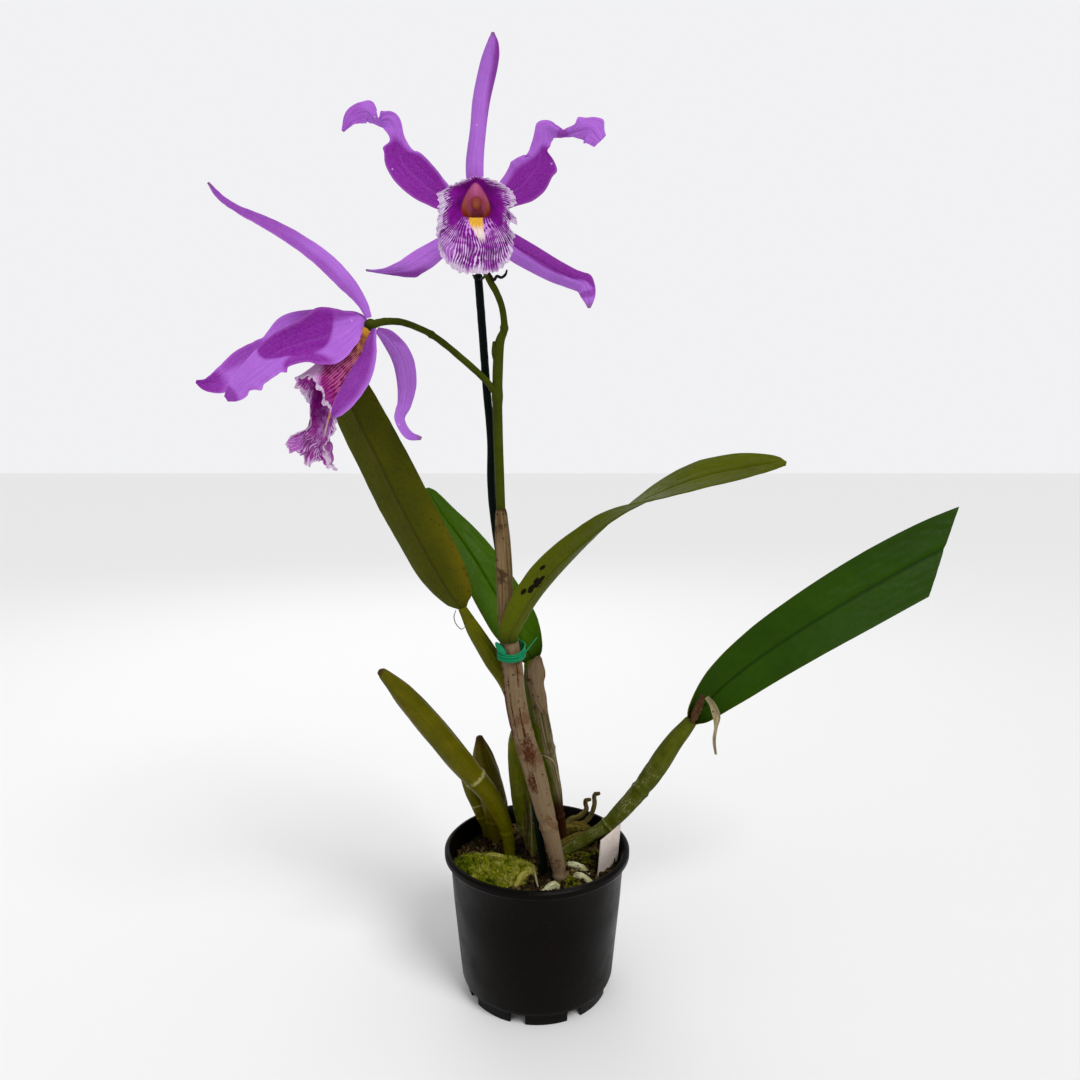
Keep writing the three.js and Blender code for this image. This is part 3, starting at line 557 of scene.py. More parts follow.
def marks(uv, places, ragged):
    """1 on ovals of a piece's UV map: (U, V, reach in U, reach in V) each. ragged tears their edge."""
    shown = 0.0
    for across, along_it, wide, long in places:
        here = effect(oval_mark, {"UV": uv, "Centre": (across, along_it, 0), "Reach": (wide, long, 1),
                                  "Ragged": ragged})["Mask"]
        shown = math_node("MAXIMUM", shown, here)
    return shown


# %% Effect: the place on a lip, from its UV map
# Round the lip from its foot (0) to its top (0.5) on either side, and out along it.
on_lip, given, wanted = new_group("lip_place", {"UV": (0, 0, 0)}, "From Foot", "Out")
parts = put("SeparateXYZ", {"Vector": given["UV"]})
shifted = math_node("FRACT", plus(parts.outputs["X"], 0.5))
give(wanted, From_Foot=math_node("ABSOLUTE", minus(shifted, 0.5)))
give(wanted, Out=parts.outputs["Y"])
print("effects:", sorted(group.name for group in bpy.data.node_groups))

# %% A finish under way
SPECULAR = 0.06  # a plant's skin hardly mirrors the pale room


def feed_shader(made, **sockets):
    """Gives a finish's shader its inputs, named with _ for a space."""
    inputs = {name.replace("_", " "): value for name, value in sockets.items()}
    return feed(made.node_tree.nodes["Principled BSDF"], inputs)


def new_finish(name, roughness, **sockets):
    """A material, and the object position and UV map that its effects read."""
    made = bpy.data.materials.new(name)
    made.use_nodes = True
    feed_shader(made, Roughness=roughness, Specular_IOR_Level=SPECULAR, **sockets)
    coordinates = put("TexCoord", {}, made.node_tree)
    return made, coordinates.outputs["Object"], coordinates.outputs["UV"]


def attribute(made, name):
    """A value that the points of the dressed piece carry."""
    return put("Attribute", {}, made.node_tree, attribute_name=name).outputs["Fac"]


def completed(made, color, height, depth, strength=0.6, **others):
    """Links a finish's colour, its relief from a height mask, depth in millimetres, and other sockets."""
    bump = put("Bump", {"Height": height, "Distance": depth * MM, "Strength": strength})
    feed_shader(made, Base_Color=color, Normal=bump.outputs["Normal"], **others)
    return made


# %% [markdown]
# ## Violet petals
# A cattleya's petal is violet with a fine crystalline sparkle, painted as a pale speckle, a painted
# highlight. Its deep violet is partly its own deeper middle and partly painted shade, laid where each
# tepal's zones say. Its veins fan out from its base. Its thin edge is paler, and old petals turn brown
# at the tip. The underside shows the veins more and the colour less.

# %% Petal and sepal finishes
def petal_finish(name, light, deep, vein, brown_tip=0.0, across=26.0):
    """The piece's shade_and_dust attribute says where the deep colour lies, partly the bloom's deeper violet
    and partly painted shade. light and deep are the lit and the shaded violet.
    """
    made, position, uv = new_finish(name, 0.5, Subsurface_Weight=0.06, Subsurface_Scale=0.003,
                                    Sheen_Weight=0.04)
    place = effect(blade_place, {"UV": uv})
    shade_and_dust = attribute(made, "shade_and_dust")
    cloudy = clouds(position, 70.0, 0.4)
    fine = clouds(position, 1100.0, 0.9)
    drawn = streaked(uv, across, 1.6, 0.8)
    lines = streaked(uv, across * 3, 2.5, 1.0)
    # Painted shade: where shade_and_dust is high, the deep violet takes the place of the lit one.
    amount = plus(shade_and_dust, times(cloudy, 0.22), clamp=True)
    spot = dotted(position, 240.0, 0.16, 0.05)
    # The pale fine speckle is painted sparkle: a painted highlight of the petal's glittering cells.
    color = lay(mix(amount, light, deep), (vein, drawn, 0.22), (vein, lines, 0.1),
                (tint(214, 160, 238), fine, 0.08), (tint(196, 136, 222), place["Edge"], 0.2),
                (tint(200, 140, 224), place["Midrib"], 0.06), (tint(222, 190, 226), spot, 0.6),
                (tint(110, 84, 60), place["Tip"], brown_tip))
    height = plus(times(drawn, 0.5), times(fine, 0.5))
    return completed(made, color, height, 0.3)


# Each: the lit violet, the deep violet that is partly painted shade, and the vein colour.
petal_upper = petal_finish("petal_upper", tint(188, 120, 230), tint(124, 8, 142), tint(138, 44, 170))
petal_under = petal_finish("petal_under", tint(186, 122, 226), tint(132, 30, 152), tint(136, 52, 166))
sepal_upper = petal_finish("sepal_upper", tint(186, 122, 228), tint(118, 14, 134), tint(132, 46, 162), 0.6,
                           20.0)
sepal_under = petal_finish("sepal_under", tint(184, 122, 224), tint(126, 30, 146), tint(130, 50, 160), 0.6,
                           20.0)

# %% [markdown]
# ## The lip
# The lip is the showpiece: a velvety magenta trumpet with pale lines that fan out and fork, a
# yellow tongue at the bottom of the throat, and a pale frilled margin. U runs round the
# trumpet from its foot, and V runs from its root to the margin, so each zone is a range of those.

# %% The face of the lip
THROAT = 0.45  # where the tube ends and the open lip begins, along V
# The walls of the throat, from its foot (0) to its roof (1): amber walls and a pink roof. The darker
# orange-brown and dark red from 0.12 to 0.26 are painted shade in the low corners beside the column.
THROAT_WALL_AND_SHADE_STOPS = [
    (0.0, (160, 86, 6)), (0.12, (124, 54, 4)), (0.26, (88, 8, 2)), (0.4, (146, 54, 14)), (0.54,
    (178, 104, 82)), (0.7, (190, 98, 142)), (1.0, (212, 126, 182))]


def lip_face_finish(name, yellow_to, count, glowing, from_side, grounds, deep_marks):
    """yellow_to: how far out the tongue stays yellow. count: how many pale lines leave the throat. glowing:
    how strong a painted glow in its own colour the open lip gets, as if light passed through it. from_side:
    how far out the pale lines start at the sides. grounds: its two magentas. deep_marks: where the lines
    fade."""
    made, position, uv = new_finish(name, 0.6, Subsurface_Weight=0.03, Subsurface_Scale=0.002,
                                    Emission_Strength=0.3)
    from_foot, out = effect(on_lip, {"UV": uv})
    around = put("SeparateXYZ", {"Vector": uv}).outputs["X"]
    cloudy = clouds(position, 95.0, 0.9)
    fine = clouds(position, 1500.0, 0.7)
    low = span(from_foot, 0.17, 0.1)
    # Pale lines start right at the throat below, and further out at the sides. They swell outwards.
    swelling = mix(low, span(out, 0.66, 0.95, 0.13, 0.36), span(out, 0.5, 0.9, 0.26, 0.3))
    beside_tongue = marks(uv, [(0.065, 0.57, 0.05, 0.09), (0.94, 0.55, 0.04, 0.06)], cloudy)
    swelling = plus(swelling, times(beside_tongue, 0.2))
    lines = fanned(uv, position, count, 0.63, swelling, 1.5)
    start = between(low, from_side, THROAT + 0.01)
    started = plus(minus(out, start), between(cloudy, -0.06, 0.06))
    lines = times(lines, span(started, -0.02, 0.06))
    deep = marks(uv, deep_marks, cloudy)
    pale = times(lines, between(deep, 1.0, 0.35))
    magenta = mix(cloudy, *grounds)
    pale_color = mix(span(out, 0.6, 0.92), tint(206, 146, 222), tint(220, 188, 230))
    lobe = marks(uv, [(0.878, 0.92, 0.04, 0.1), (0.5, 0.97, 0.07, 0.14)], cloudy)
    dusty = attribute(made, "shade_and_dust")
    color = lay(magenta, (pale_color, pale, 0.94), (tint(176, 116, 198), lobe, 0.6),
                (tint(236, 210, 240), fine, 0.015), (tint(186, 106, 184), dusty, 0.25))
    pits = dotted(position, 170.0, 0.34, 0.16)
    color = mix(times(pits, dusty), color, tint(74, 18, 22))
    walls = ramp(times(from_foot, 2.0), [(at, tint(*shade)) for at, shade in THROAT_WALL_AND_SHADE_STOPS])
    stripe = fanned(uv, position, 40.0, 0.9, 0.2, 0.5)
    inside = lay(walls, (tint(150, 16, 90), stripe, 0.3))
    # Painted shade: deep in the tube, near its root, the walls turn dark orange-brown.
    inside = mix(span(out, 0.2, 0.0), inside, tint(110, 40, 4))
    color = mix(span(out, THROAT + 0.03, THROAT - 0.02), color, inside)
    # The tongue: a yellow ridge at the foot of the throat that turns white, narrows and leans aside.
    leaning = minus(math_node("FRACT", plus(around, 0.5)), 0.5)
    leaning = math_node("ABSOLUTE", minus(leaning, span(out, 0.5, 0.8, 0.0, 0.032)))
    half_width = span(out, 0.42, 0.78, 0.056, 0.014)
    tongue = span(math_node("DIVIDE", leaning, half_width), 1.2, 0.85)
    tongue = times(tongue, span(out, 0.78, 0.7))
    tongue = times(tongue, span(out, 0.3, 0.36))
    tongue_color = mix(span(out, yellow_to, yellow_to + 0.1), tint(240, 188, 24), tint(236, 220, 206))
    color = mix(tongue, color, tongue_color)
    rim = plus(out, between(cloudy, -0.02, 0.02))
    rim = plus(rim, span(from_foot, 0.16, 0.24, -0.03, 0.03))
    color = mix(span(rim, 0.92, 0.965, 0.0, 0.8), color, tint(220, 204, 226))
    # Painted glow: emission in their own colour lights the tube's walls and the open lip, as if light
    # passed through the thin tube.
    face_glow = mix(1.0, magenta, (glowing, glowing, glowing, 1), "MULTIPLY")
    inner_glow = mix(tongue, inside, tongue_color)
    glow = mix(span(out, THROAT + 0.02, THROAT - 0.04), face_glow, inner_glow)
    height = plus(times(lines, 0.8), times(fine, 0.2))
    return completed(made, color, height, 0.7, 0.8, Emission_Color=glow)


# %% The back of the lip
def lip_back_finish():
    made, position, uv = new_finish("lip_back", 0.6, Subsurface_Weight=0.03, Subsurface_Scale=0.002)
    from_foot, out = effect(on_lip, {"UV": uv})
    cloudy = clouds(position, 95.0, 0.9)
    fine = clouds(position, 1500.0, 0.7)
    slanted = put("Mapping", {"Vector": uv, "Rotation": (0, 0, 0.22)}).outputs["Vector"]
    stripe = fanned(slanted, position, 54.0, 0.95, 0.34, 0.5)
    ground = mix(span(out, 0.12, 0.5), tint(196, 138, 38), tint(186, 84, 146))
    stripe = times(stripe, span(out, 0.05, 0.2, 0.0, 0.95))
    color = mix(stripe, ground, tint(104, 0, 62))
    color = mix(span(out, 0.0, 0.1, 1.0, 0.0), color, tint(160, 142, 50))
    lines = fanned(uv, position, 42.0, 0.66, 0.2, 1.4)
    open_part = mix(lines, tint(150, 36, 152), tint(206, 150, 218))
    # The side lobes stay striped to near their margin, the crest and the front lobe turn pale.
    striped = span(math_node("ABSOLUTE", minus(from_foot, 0.27)), 0.17, 0.1)
    turning = minus(out, times(striped, 0.3))
    color = mix(span(turning, THROAT + 0.05, THROAT + 0.2), color, open_part)
    near_rim = times(striped, span(out, 0.55, 0.8, 0.0, 0.7))
    color = mix(near_rim, color, tint(140, 22, 124))
    crest = times(span(from_foot, 0.38, 0.46), span(out, 0.5, 0.66))
    dusty = attribute(made, "shade_and_dust")
    color = lay(color, (tint(212, 166, 206), crest, 0.85), (tint(172, 104, 170), dusty, 0.5))
    rim = plus(out, between(cloudy, -0.015, 0.015))
    rim = plus(rim, span(from_foot, 0.16, 0.24, -0.02, 0.04))
    color = mix(span(rim, 0.92, 0.96, 0.0, 0.85), color, tint(218, 202, 222))
    height = plus(times(stripe, 0.8), times(fine, 0.2))
    return completed(made, color, height, 0.4, 0.7)


TOP_DEEP_MARKS = [
    (0.05, 0.87, 0.035, 0.12), (0.985, 0.84, 0.02, 0.1), (0.2, 0.62, 0.05, 0.1), (0.7, 0.7, 0.13, 0.14)]
LEFT_DEEP_MARKS = [(0.76, 0.68, 0.12, 0.2), (0.2, 0.62, 0.1, 0.1), (0.62, 0.75, 0.06, 0.15)]
LIP_FACES = {
    "top_bloom": lip_face_finish("top_lip_face", 0.56, 50.0, 0.6, 0.73, (tint(122, 0, 134), tint(84, 0, 98)),
                                 TOP_DEEP_MARKS),
    "left_bloom": lip_face_finish("left_lip_face", 0.62, 44.0, 1.2, 0.66,
                                  (tint(126, 0, 116), tint(84, 0, 82)),
                                  LEFT_DEEP_MARKS)}
lip_back = lip_back_finish()


# %% Column finish
def column_finish():
    # Painted glow: the emission in its own colour keeps the column bright inside the shaded tube.
    made, position, uv = new_finish("column_flesh", 0.4, Subsurface_Weight=0.15, Subsurface_Scale=0.003,
                                    Emission_Strength=0.1)
    cloudy = clouds(position, 300.0, 0.7)
    place = effect(blade_place, {"UV": uv})
    color = mix(cloudy, tint(196, 110, 140), tint(166, 76, 112))
    color = mix(span(place["Along"], 0.72, 0.84), color, tint(180, 104, 84))
    return completed(made, color, cloudy, 0.2, Emission_Color=color)


column_flesh = column_finish()

# %% [markdown]
# ## Leaves and canes
# An old cattleya leaf is leathery: a dark glossy upper face with a midrib groove, and a matt
# olive underside that is dotted with fine pores. Canes are ribbed lengthways and keep dry
# papery sheaths, grey-brown and fibrous, that tear and leave rings where they were joined.


# %% Leaf finishes
YELLOW_SIDE = (0.36, 0.0)  # the range of U where an old leaf has turned yellow


def leaf_finish(name, base, other, midrib, roughness, dots=0.2, blotches=(), yellow=0.0, base_shade=0.0):
    """dots: how plain its pores are. blotches: black ovals. yellow: how far one side has turned.
    base_shade: how much painted shade darkens its foot."""
    made, position, uv = new_finish(name, roughness)
    place = effect(blade_place, {"UV": uv})
    wide = clouds(position, 28.0, 0.5)
    fine = clouds(position, 420.0, 0.5)
    ribs = streaked(uv, 46.0, 2.0, 0.6)
    color = lay(mix(wide, base, other), (midrib, fine, 0.25), (other, ribs, 0.1),
                (midrib, place["Midrib"], 0.7))
    if yellow:
        one_side = span(put("SeparateXYZ", {"Vector": uv}).outputs["X"], *YELLOW_SIDE)
        one_side = times(one_side, span(place["Along"], 0.5, 0.2))
        color = lay(color, (tint(112, 96, 8), one_side, yellow))
        rust = times(one_side, clouds(position, 160.0, 1.0))
        color = mix(span(rust, 0.6, 0.9, 0.0, 0.7), color, tint(70, 34, 4))
    pores = dotted(position, 420.0, 0.3, 0.4)
    # Painted shade: the foot of the blade, where it folds into a channel, is darker.
    color = lay(color, (tint(14, 26, 0), place["Base"], base_shade), (tint(44, 34, 10), pores, dots))
    if blotches:
        ragged = clouds(position, 190.0, 0.7)
        color = mix(marks(uv, blotches, between(ragged, 0.25, 0.75)), color, tint(14, 7, 0))
    height = plus(times(ribs, 0.7), times(fine, 0.3))
    return completed(made, color, height, 0.15, 0.5,
                     Roughness=between(fine, roughness - 0.08, roughness + 0.12))


BLACK_BLOTCHES = [
    (0.595, 0.332, 0.09, 0.016), (0.64, 0.318, 0.11, 0.019), (0.69, 0.303, 0.1, 0.014),
    (0.81, 0.286, 0.07, 0.011), (0.8, 0.356, 0.045, 0.007)]
leaf_upper = leaf_finish("leaf_upper", tint(52, 86, 0), tint(66, 100, 0), tint(34, 58, 0), 0.42,
                         base_shade=0.8)
leaf_dark = leaf_finish("leaf_dark", tint(30, 56, 0), tint(42, 72, 0), tint(16, 38, 0), 0.42, base_shade=0.95)
leaf_under = leaf_finish("leaf_under", tint(56, 60, 0), tint(76, 78, 0), tint(48, 48, 0), 0.6, dots=0.55,
                         yellow=0.5)
leaf_arched = leaf_finish("leaf_arched", tint(66, 70, 0), tint(88, 98, 2), tint(62, 66, 0), 0.5, dots=0.35,
                          blotches=BLACK_BLOTCHES, base_shade=0.75)


# %% Cane finishes
def cane_finish(name, base, other, stain, roughness=0.45, dots=0.3, net=(), paper=(), rings=(), brown_tip=0.0,
                brown_foot=0.0):
    """net: how far up the fibres reach, strength. paper: the share round the cane, from its left,
    where its dry sheath starts, then from where to where along it. rings: torn pale rings.
    brown_foot: how far up the cane is dead and red-brown."""
    made, position, uv = new_finish(name, roughness)
    parts = put("SeparateXYZ", {"Vector": uv})
    wide = clouds(position, 70.0, 0.7)
    fine = clouds(position, 700.0, 0.6)
    ribs = streaked(uv, 40.0, 5.0, 0.9)
    dirt = dotted(position, 260.0, 0.3, 0.3)
    color = lay(mix(wide, base, other), (stain, ribs, 0.3), (tint(30, 24, 0), fine, 0.2),
                (tint(40, 22, 4), dirt, dots))
    along_it = plus(parts.outputs["Y"], between(ribs, -0.03, 0.03))
    height = plus(times(ribs, 0.5), times(fine, 0.2))
    if brown_tip:
        color = mix(span(along_it, 0.9, 0.985, 0.0, brown_tip), color, tint(62, 40, 14))
    if paper:
        edge, low, high = paper
        turned = math_node("FRACT", plus(parts.outputs["X"], 0.5))
        ragged = plus(turned, between(wide, -0.06, 0.06))
        ragged = plus(ragged, between(fine, -0.02, 0.02))
        sheath = times(span(ragged, edge - 0.015, edge + 0.015), span(along_it, low, low + 0.02))
        sheath = times(sheath, span(along_it, high, high - 0.02))
        dry = mix(ribs, tint(66, 58, 30), tint(122, 110, 76))
        dry = mix(span(wide, 0.55, 0.9, 0.0, 0.6), dry, tint(48, 36, 12))
        color = mix(sheath, color, dry)
        height = plus(height, sheath)
    if brown_foot:
        dead = mix(ribs, tint(34, 12, 4), tint(66, 38, 18))
        color = mix(span(along_it, brown_foot, brown_foot - 0.05), color, dead)
    if net:
        reach, strength = net
        fibres = effect(veins,
                        {"UV": uv, "Across": 40.0, "Along": 34.0, "Width": 0.09, "Wander": 1.4})["Mask"]
        patches = times(fibres, span(wide, 0.25, 0.6))
        low_part = span(along_it, reach, reach - 0.15, 0.0, strength)
        color = lay(color, (tint(168, 162, 120), patches, low_part))
        height = plus(height, times(patches, low_part))
    level = plus(parts.outputs["Y"], between(fine, -0.004, 0.004))
    for at in rings:
        torn = span(math_node("ABSOLUTE", minus(level, at)), 0.007, 0.003)
        color = lay(color, (tint(168, 160, 108), torn, span(wide, 0.2, 0.5, 0.1, 0.6)))
    return completed(made, color, height, 0.5, Roughness=between(fine, roughness - 0.1, roughness + 0.2))


cane_green = cane_finish("cane_green", tint(80, 84, 0), tint(104, 102, 4), tint(64, 62, 4), 0.4, dots=0.4)
cane_papery = cane_finish("cane_papery", tint(74, 92, 6), tint(104, 112, 14), tint(60, 66, 6), 0.45,
                          paper=(0.46, 0.12, 0.96), brown_foot=0.4)
cane_netted = cane_finish("cane_netted", tint(62, 70, 4), tint(86, 92, 14), tint(50, 54, 4), 0.5,
                          net=(0.78, 0.8), rings=(0.42,))
bulb_olive = cane_finish("bulb_olive", tint(78, 78, 0), tint(98, 94, 2), tint(76, 56, 0), 0.34, dots=0.15,
                         rings=(0.412,), brown_tip=0.9)
bulb_short = cane_finish("bulb_short", tint(74, 74, 2), tint(96, 84, 8), tint(88, 50, 8), 0.4, dots=0.3,
                         brown_tip=0.9)
bulb_fibrous = cane_finish("bulb_fibrous", tint(84, 92, 2), tint(110, 112, 10), tint(60, 62, 4), 0.42,
                           net=(0.62, 1.0), paper=(0.62, 0.0, 0.5))
stem_green = cane_finish("stem_green", tint(52, 62, 0), tint(70, 78, 2), tint(42, 50, 0), 0.45, dots=0.12)


# %% Dry sheaths, roots and rootstock
def dry_finish(name, light, dark, stain, across=34.0, stains=0.5, lined=1.0, patches=()):
    """across, lined: how fine its fibres are and how plain. patches: where it is torn and red-brown."""
    made, position, uv = new_finish(name, 0.75)
    wide = clouds(position, 90.0, 0.9)
    fine = clouds(position, 1100.0, 0.8)
    fibres = streaked(uv, across, 3.0, lined)
    color = mix(fibres, dark, light)
    color = mix(span(wide, 0.62, 0.95, 0.0, stains), color, stain)
    color = lay(color, (light, fine, 0.25))
    if patches:
        creased = streaked(uv, 22.0, 60.0, 1.0)
        ragged = mix(0.5, wide, creased)
        torn = times(marks(uv, patches, ragged), span(creased, 0.1, 0.5, 0.5, 1.0))
        torn = times(torn, span(fine, 0.2, 0.6, 0.75, 1.0))
        color = mix(torn, color, tint(62, 22, 4))
    dirt = dotted(position, 330.0, 0.3, 0.25)
    color = lay(color, (tint(40, 26, 16), dirt, 0.7))
    height = plus(times(fibres, 0.7), times(fine, 0.3))
    return completed(made, color, height, 0.5, 0.8)


TORN_PATCHES = [
    (0.03, 0.56, 0.12, 0.045), (1.03, 0.56, 0.12, 0.045), (0.95, 0.475, 0.08, 0.03),
    (0.04, 0.66, 0.02, 0.08), (0.8, 0.75, 0.05, 0.2), (0.93, 0.7, 0.015, 0.1), (0.08, 0.84, 0.02, 0.06)]
sheath_grey = dry_finish("sheath_grey", tint(132, 112, 86), tint(88, 70, 48), tint(84, 52, 28), stains=0.75,
                         lined=0.25, patches=TORN_PATCHES)
spathe_paper = dry_finish("spathe_paper", tint(126, 106, 74), tint(80, 58, 30), tint(44, 22, 2),
                          across=26.0, stains=0.85)
shred_straw = dry_finish("shred_straw", tint(190, 178, 140), tint(140, 124, 84), tint(100, 76, 40))
stub_brown = dry_finish("stub_brown", tint(110, 78, 50), tint(46, 28, 12), tint(24, 14, 6))
rootstock_bark = dry_finish("rootstock_bark", tint(104, 92, 34), tint(54, 44, 12), tint(34, 40, 4))
root_white = dry_finish("root_white", tint(198, 198, 160), tint(138, 136, 92), tint(104, 98, 44),
                        across=14.0, stains=0.3)
cream_wood = dry_finish("cream_wood", tint(170, 160, 84), tint(106, 104, 26), tint(70, 78, 6), across=14.0)
root_brown = dry_finish("root_brown", tint(104, 92, 48), tint(60, 52, 22), tint(36, 30, 10), across=12.0)


# %% [markdown]
# ## Pot, mix, moss and small things
# The pot is black polypropylene that has gone dusty, with a glossier rim. The mix is dark bark
# with lighter chips. Each copy in a scattered piece carries a tone of its own in an attribute, so
# that one finish gives many slightly different chips or sprigs.

# %% Pot, stake, tie and label finishes
def moulded_finish(name, base, dusty, roughness, amount, specks=0.2):
    """amount: how much dust lies on it. specks: how plain its specks of dirt are."""
    made, position, uv = new_finish(name, roughness)
    wide = clouds(position, 26.0, 0.8)
    fine = clouds(position, 800.0, 0.8)
    dirt = dotted(position, 240.0, 0.2, 0.2)
    color = lay(base, (dusty, times(wide, fine), amount), (dusty, dirt, specks))
    return completed(made, color, fine, 0.12, 0.5, Roughness=between(wide, roughness, roughness + 0.2))


pot_plastic = moulded_finish("pot_plastic", tint(4, 2, 1), tint(44, 32, 18), 0.3, 0.12, specks=0.15)
stake_plastic = moulded_finish("stake_plastic", tint(0, 12, 8), tint(30, 36, 20), 0.35, 0.3)
tie_plastic = moulded_finish("tie_plastic", tint(0, 122, 78), tint(90, 160, 120), 0.32, 0.25, specks=0.1)
label_plastic = moulded_finish("label_plastic", tint(208, 196, 188), tint(140, 120, 96), 0.45, 0.6)
wire_dark = moulded_finish("wire_dark", tint(16, 14, 14), tint(70, 60, 50), 0.5, 0.3)


# %% Finishes for the scattered pieces
def scattered_finish(name, colors, roughness):
    """colors: dark to light, chosen by each copy's own tone."""
    made, position, uv = new_finish(name, roughness)
    tone = attribute(made, "tone")
    toned = ramp(tone, [(k / (len(colors) - 1), color) for k, color in enumerate(colors)])
    fine = clouds(position, 500.0, 0.7)
    return completed(made, lay(toned, (colors[0], fine, 0.5)), fine, 0.3, 0.8)


mix_soil = moulded_finish("mix_soil", tint(24, 18, 8), tint(70, 56, 30), 0.85, 0.8)
bark_chip = scattered_finish("bark_chip",
                             [tint(20, 14, 6), tint(44, 32, 14), tint(78, 62, 30), tint(120, 100, 62)],
                             0.85)
moss_green = scattered_finish("moss_green",
                              [tint(40, 54, 0), tint(88, 112, 2), tint(136, 142, 6), tint(176, 172, 36),
                               tint(206, 200, 104)], 0.8)
print("finishes:", len(bpy.data.materials))

# %% [markdown]
# ## The pot
# A nursery pot is one moulded shell: thick rim, a slight taper, and a skirt with notches that
# let water out. Its profile is drawn once and spun, and boxes cut the notches.

# %% Pot sizes, in millimetres
POT_HEIGHT, RIM_RADIUS, RIM_DEPTH = 99, 62.5, 6
SHOULDER_RADIUS, BODY_RADIUS, FOOT_RADIUS = 58.6, 51.7, 48
POT_WALL, POT_FLOOR, BODY_BOTTOM = 1.8, 8, 10
NOTCH_COUNT, NOTCH_WIDTH, NOTCH_HEIGHT, NOTCH_FIRST = 8, 10, 7.6, 30
shoulder = POT_HEIGHT - RIM_DEPTH
inside = SHOULDER_RADIUS - POT_WALL
BOSS_RADIUS = 7  # moulding boss under the middle of the floor, flush with the foot
POT_PROFILE = [
    (0, 0), (BOSS_RADIUS, 0), (BOSS_RADIUS, POT_FLOOR - POT_WALL),
    (FOOT_RADIUS - POT_WALL, POT_FLOOR - POT_WALL), (FOOT_RADIUS - POT_WALL, 0), (FOOT_RADIUS, 0),
    (FOOT_RADIUS + 0.6, BODY_BOTTOM - 3), (BODY_RADIUS - 0.8, BODY_BOTTOM - 1.5),
    (BODY_RADIUS, BODY_BOTTOM + 1), (SHOULDER_RADIUS - 1.9, 0.7 * shoulder), (SHOULDER_RADIUS, shoulder),
    (RIM_RADIUS - 1, shoulder), (RIM_RADIUS, shoulder + 1.5), (RIM_RADIUS, POT_HEIGHT - 1.5),
    (RIM_RADIUS - 1.5, POT_HEIGHT), (RIM_RADIUS - 3, POT_HEIGHT), (RIM_RADIUS - 4.6, POT_HEIGHT - 2.5),
    (inside, shoulder), (BODY_RADIUS - POT_WALL, BODY_BOTTOM), (BODY_RADIUS - POT_WALL - 1.5, POT_FLOOR),
    (0, POT_FLOOR)]

# %% Spin the profile
bpy.ops.object.select_all(action="DESELECT")
bpy.ops.mesh.primitive_circle_add(vertices=len(POT_PROFILE), fill_type="NOTHING")
pot = bpy.context.object
pot.name = "pot_shell"
for vertex, (radius, height) in zip(pot.data.vertices, POT_PROFILE):
    vertex.co = (radius * MM, 0, height * MM)
edit(bpy.ops.mesh.spin, steps=180, angle=2 * math.pi, center=(0, 0, 0), axis=(0, 0, 1))
edit(bpy.ops.mesh.remove_doubles, threshold=1e-5)
edit(bpy.ops.mesh.normals_make_consistent, inside=False)

# %% Cut the notches
NOTCH_DEPTH = 14  # enough to pass through the skirt
for k in range(NOTCH_COUNT):
    turn = math.radians(NOTCH_FIRST + 360 * k / NOTCH_COUNT)
    centre = Vector((math.sin(turn), -math.cos(turn), 0)) * FOOT_RADIUS * MM
    bpy.ops.mesh.primitive_cube_add(size=1, location=centre, rotation=(0, 0, turn))
    cutter = bpy.context.object
    cutter.scale = Vector((NOTCH_WIDTH, NOTCH_DEPTH, 2 * NOTCH_HEIGHT)) * MM
    settled(cutter)
    apply(cutter, "BEVEL", width=1.5 * MM, segments=3)
    apply(pot, "BOOLEAN", operation="DIFFERENCE", object=cutter, solver="EXACT")
    bpy.data.objects.remove(cutter)
apply(pot, "BEVEL", width=0.35 * MM, segments=2, limit_method="ANGLE", angle_limit=math.radians(32))
smooth_by_angle(pot, 40)
dress(pot, "pot", "pot", finish=pot_plastic)

# %% [markdown]
# ## The mix and its chips
# The bark mix has a rough top with chips of many sizes lying over it. The bed is one closed
# round piece whose top is raised by layers of noise, and the chips are a few shapes copied with
# random turns and sizes and kept as one mesh.

# %% Bed of mix
MIX_TOP = 87.5
mix_slope = (SHOULDER_RADIUS - BODY_RADIUS) / (POT_HEIGHT - RIM_DEPTH - BODY_BOTTOM)
MIX_BOTTOM_RADIUS = BODY_RADIUS - POT_WALL - 0.4
MIX_RADIUS = MIX_BOTTOM_RADIUS + mix_slope * (MIX_TOP - BODY_BOTTOM)


def mix_height(x, y):
    hump = 0.9 * (math.sin(x / 7 + 1) * math.cos(y / 9) + math.sin((x + y) / 13))
    rough = 1.6 * grain(x / 6, y / 6, 3) + 0.9 * grain(x / 2.2, y / 2.2, 5) + 0.4 * grain(x / 0.9, y / 0.9, 7)
    return MIX_TOP + hump + rough - 0.6


MIX_AROUND, MIX_RINGS = 200, 62
MIX_FLOOR = Vector((0, 0, POT_FLOOR + 0.3))


def mix_place(i, j):
    angle = 2 * math.pi * i / MIX_AROUND
    if j == 0:
        return MIX_FLOOR
    if j == 1:
        return Vector((math.cos(angle), math.sin(angle), 0)) * MIX_BOTTOM_RADIUS + MIX_FLOOR
    radius = MIX_RADIUS * (MIX_RINGS - j) / (MIX_RINGS - 2)
    x, y = radius * math.cos(angle), radius * math.sin(angle)
    return Vector((x, y, mix_height(x, y)))


bed = laid_grid("mix_bed", MIX_AROUND, MIX_RINGS, mix_place, ring=True)
dress(bed, "mix", "potting_mix", finish=mix_soil)


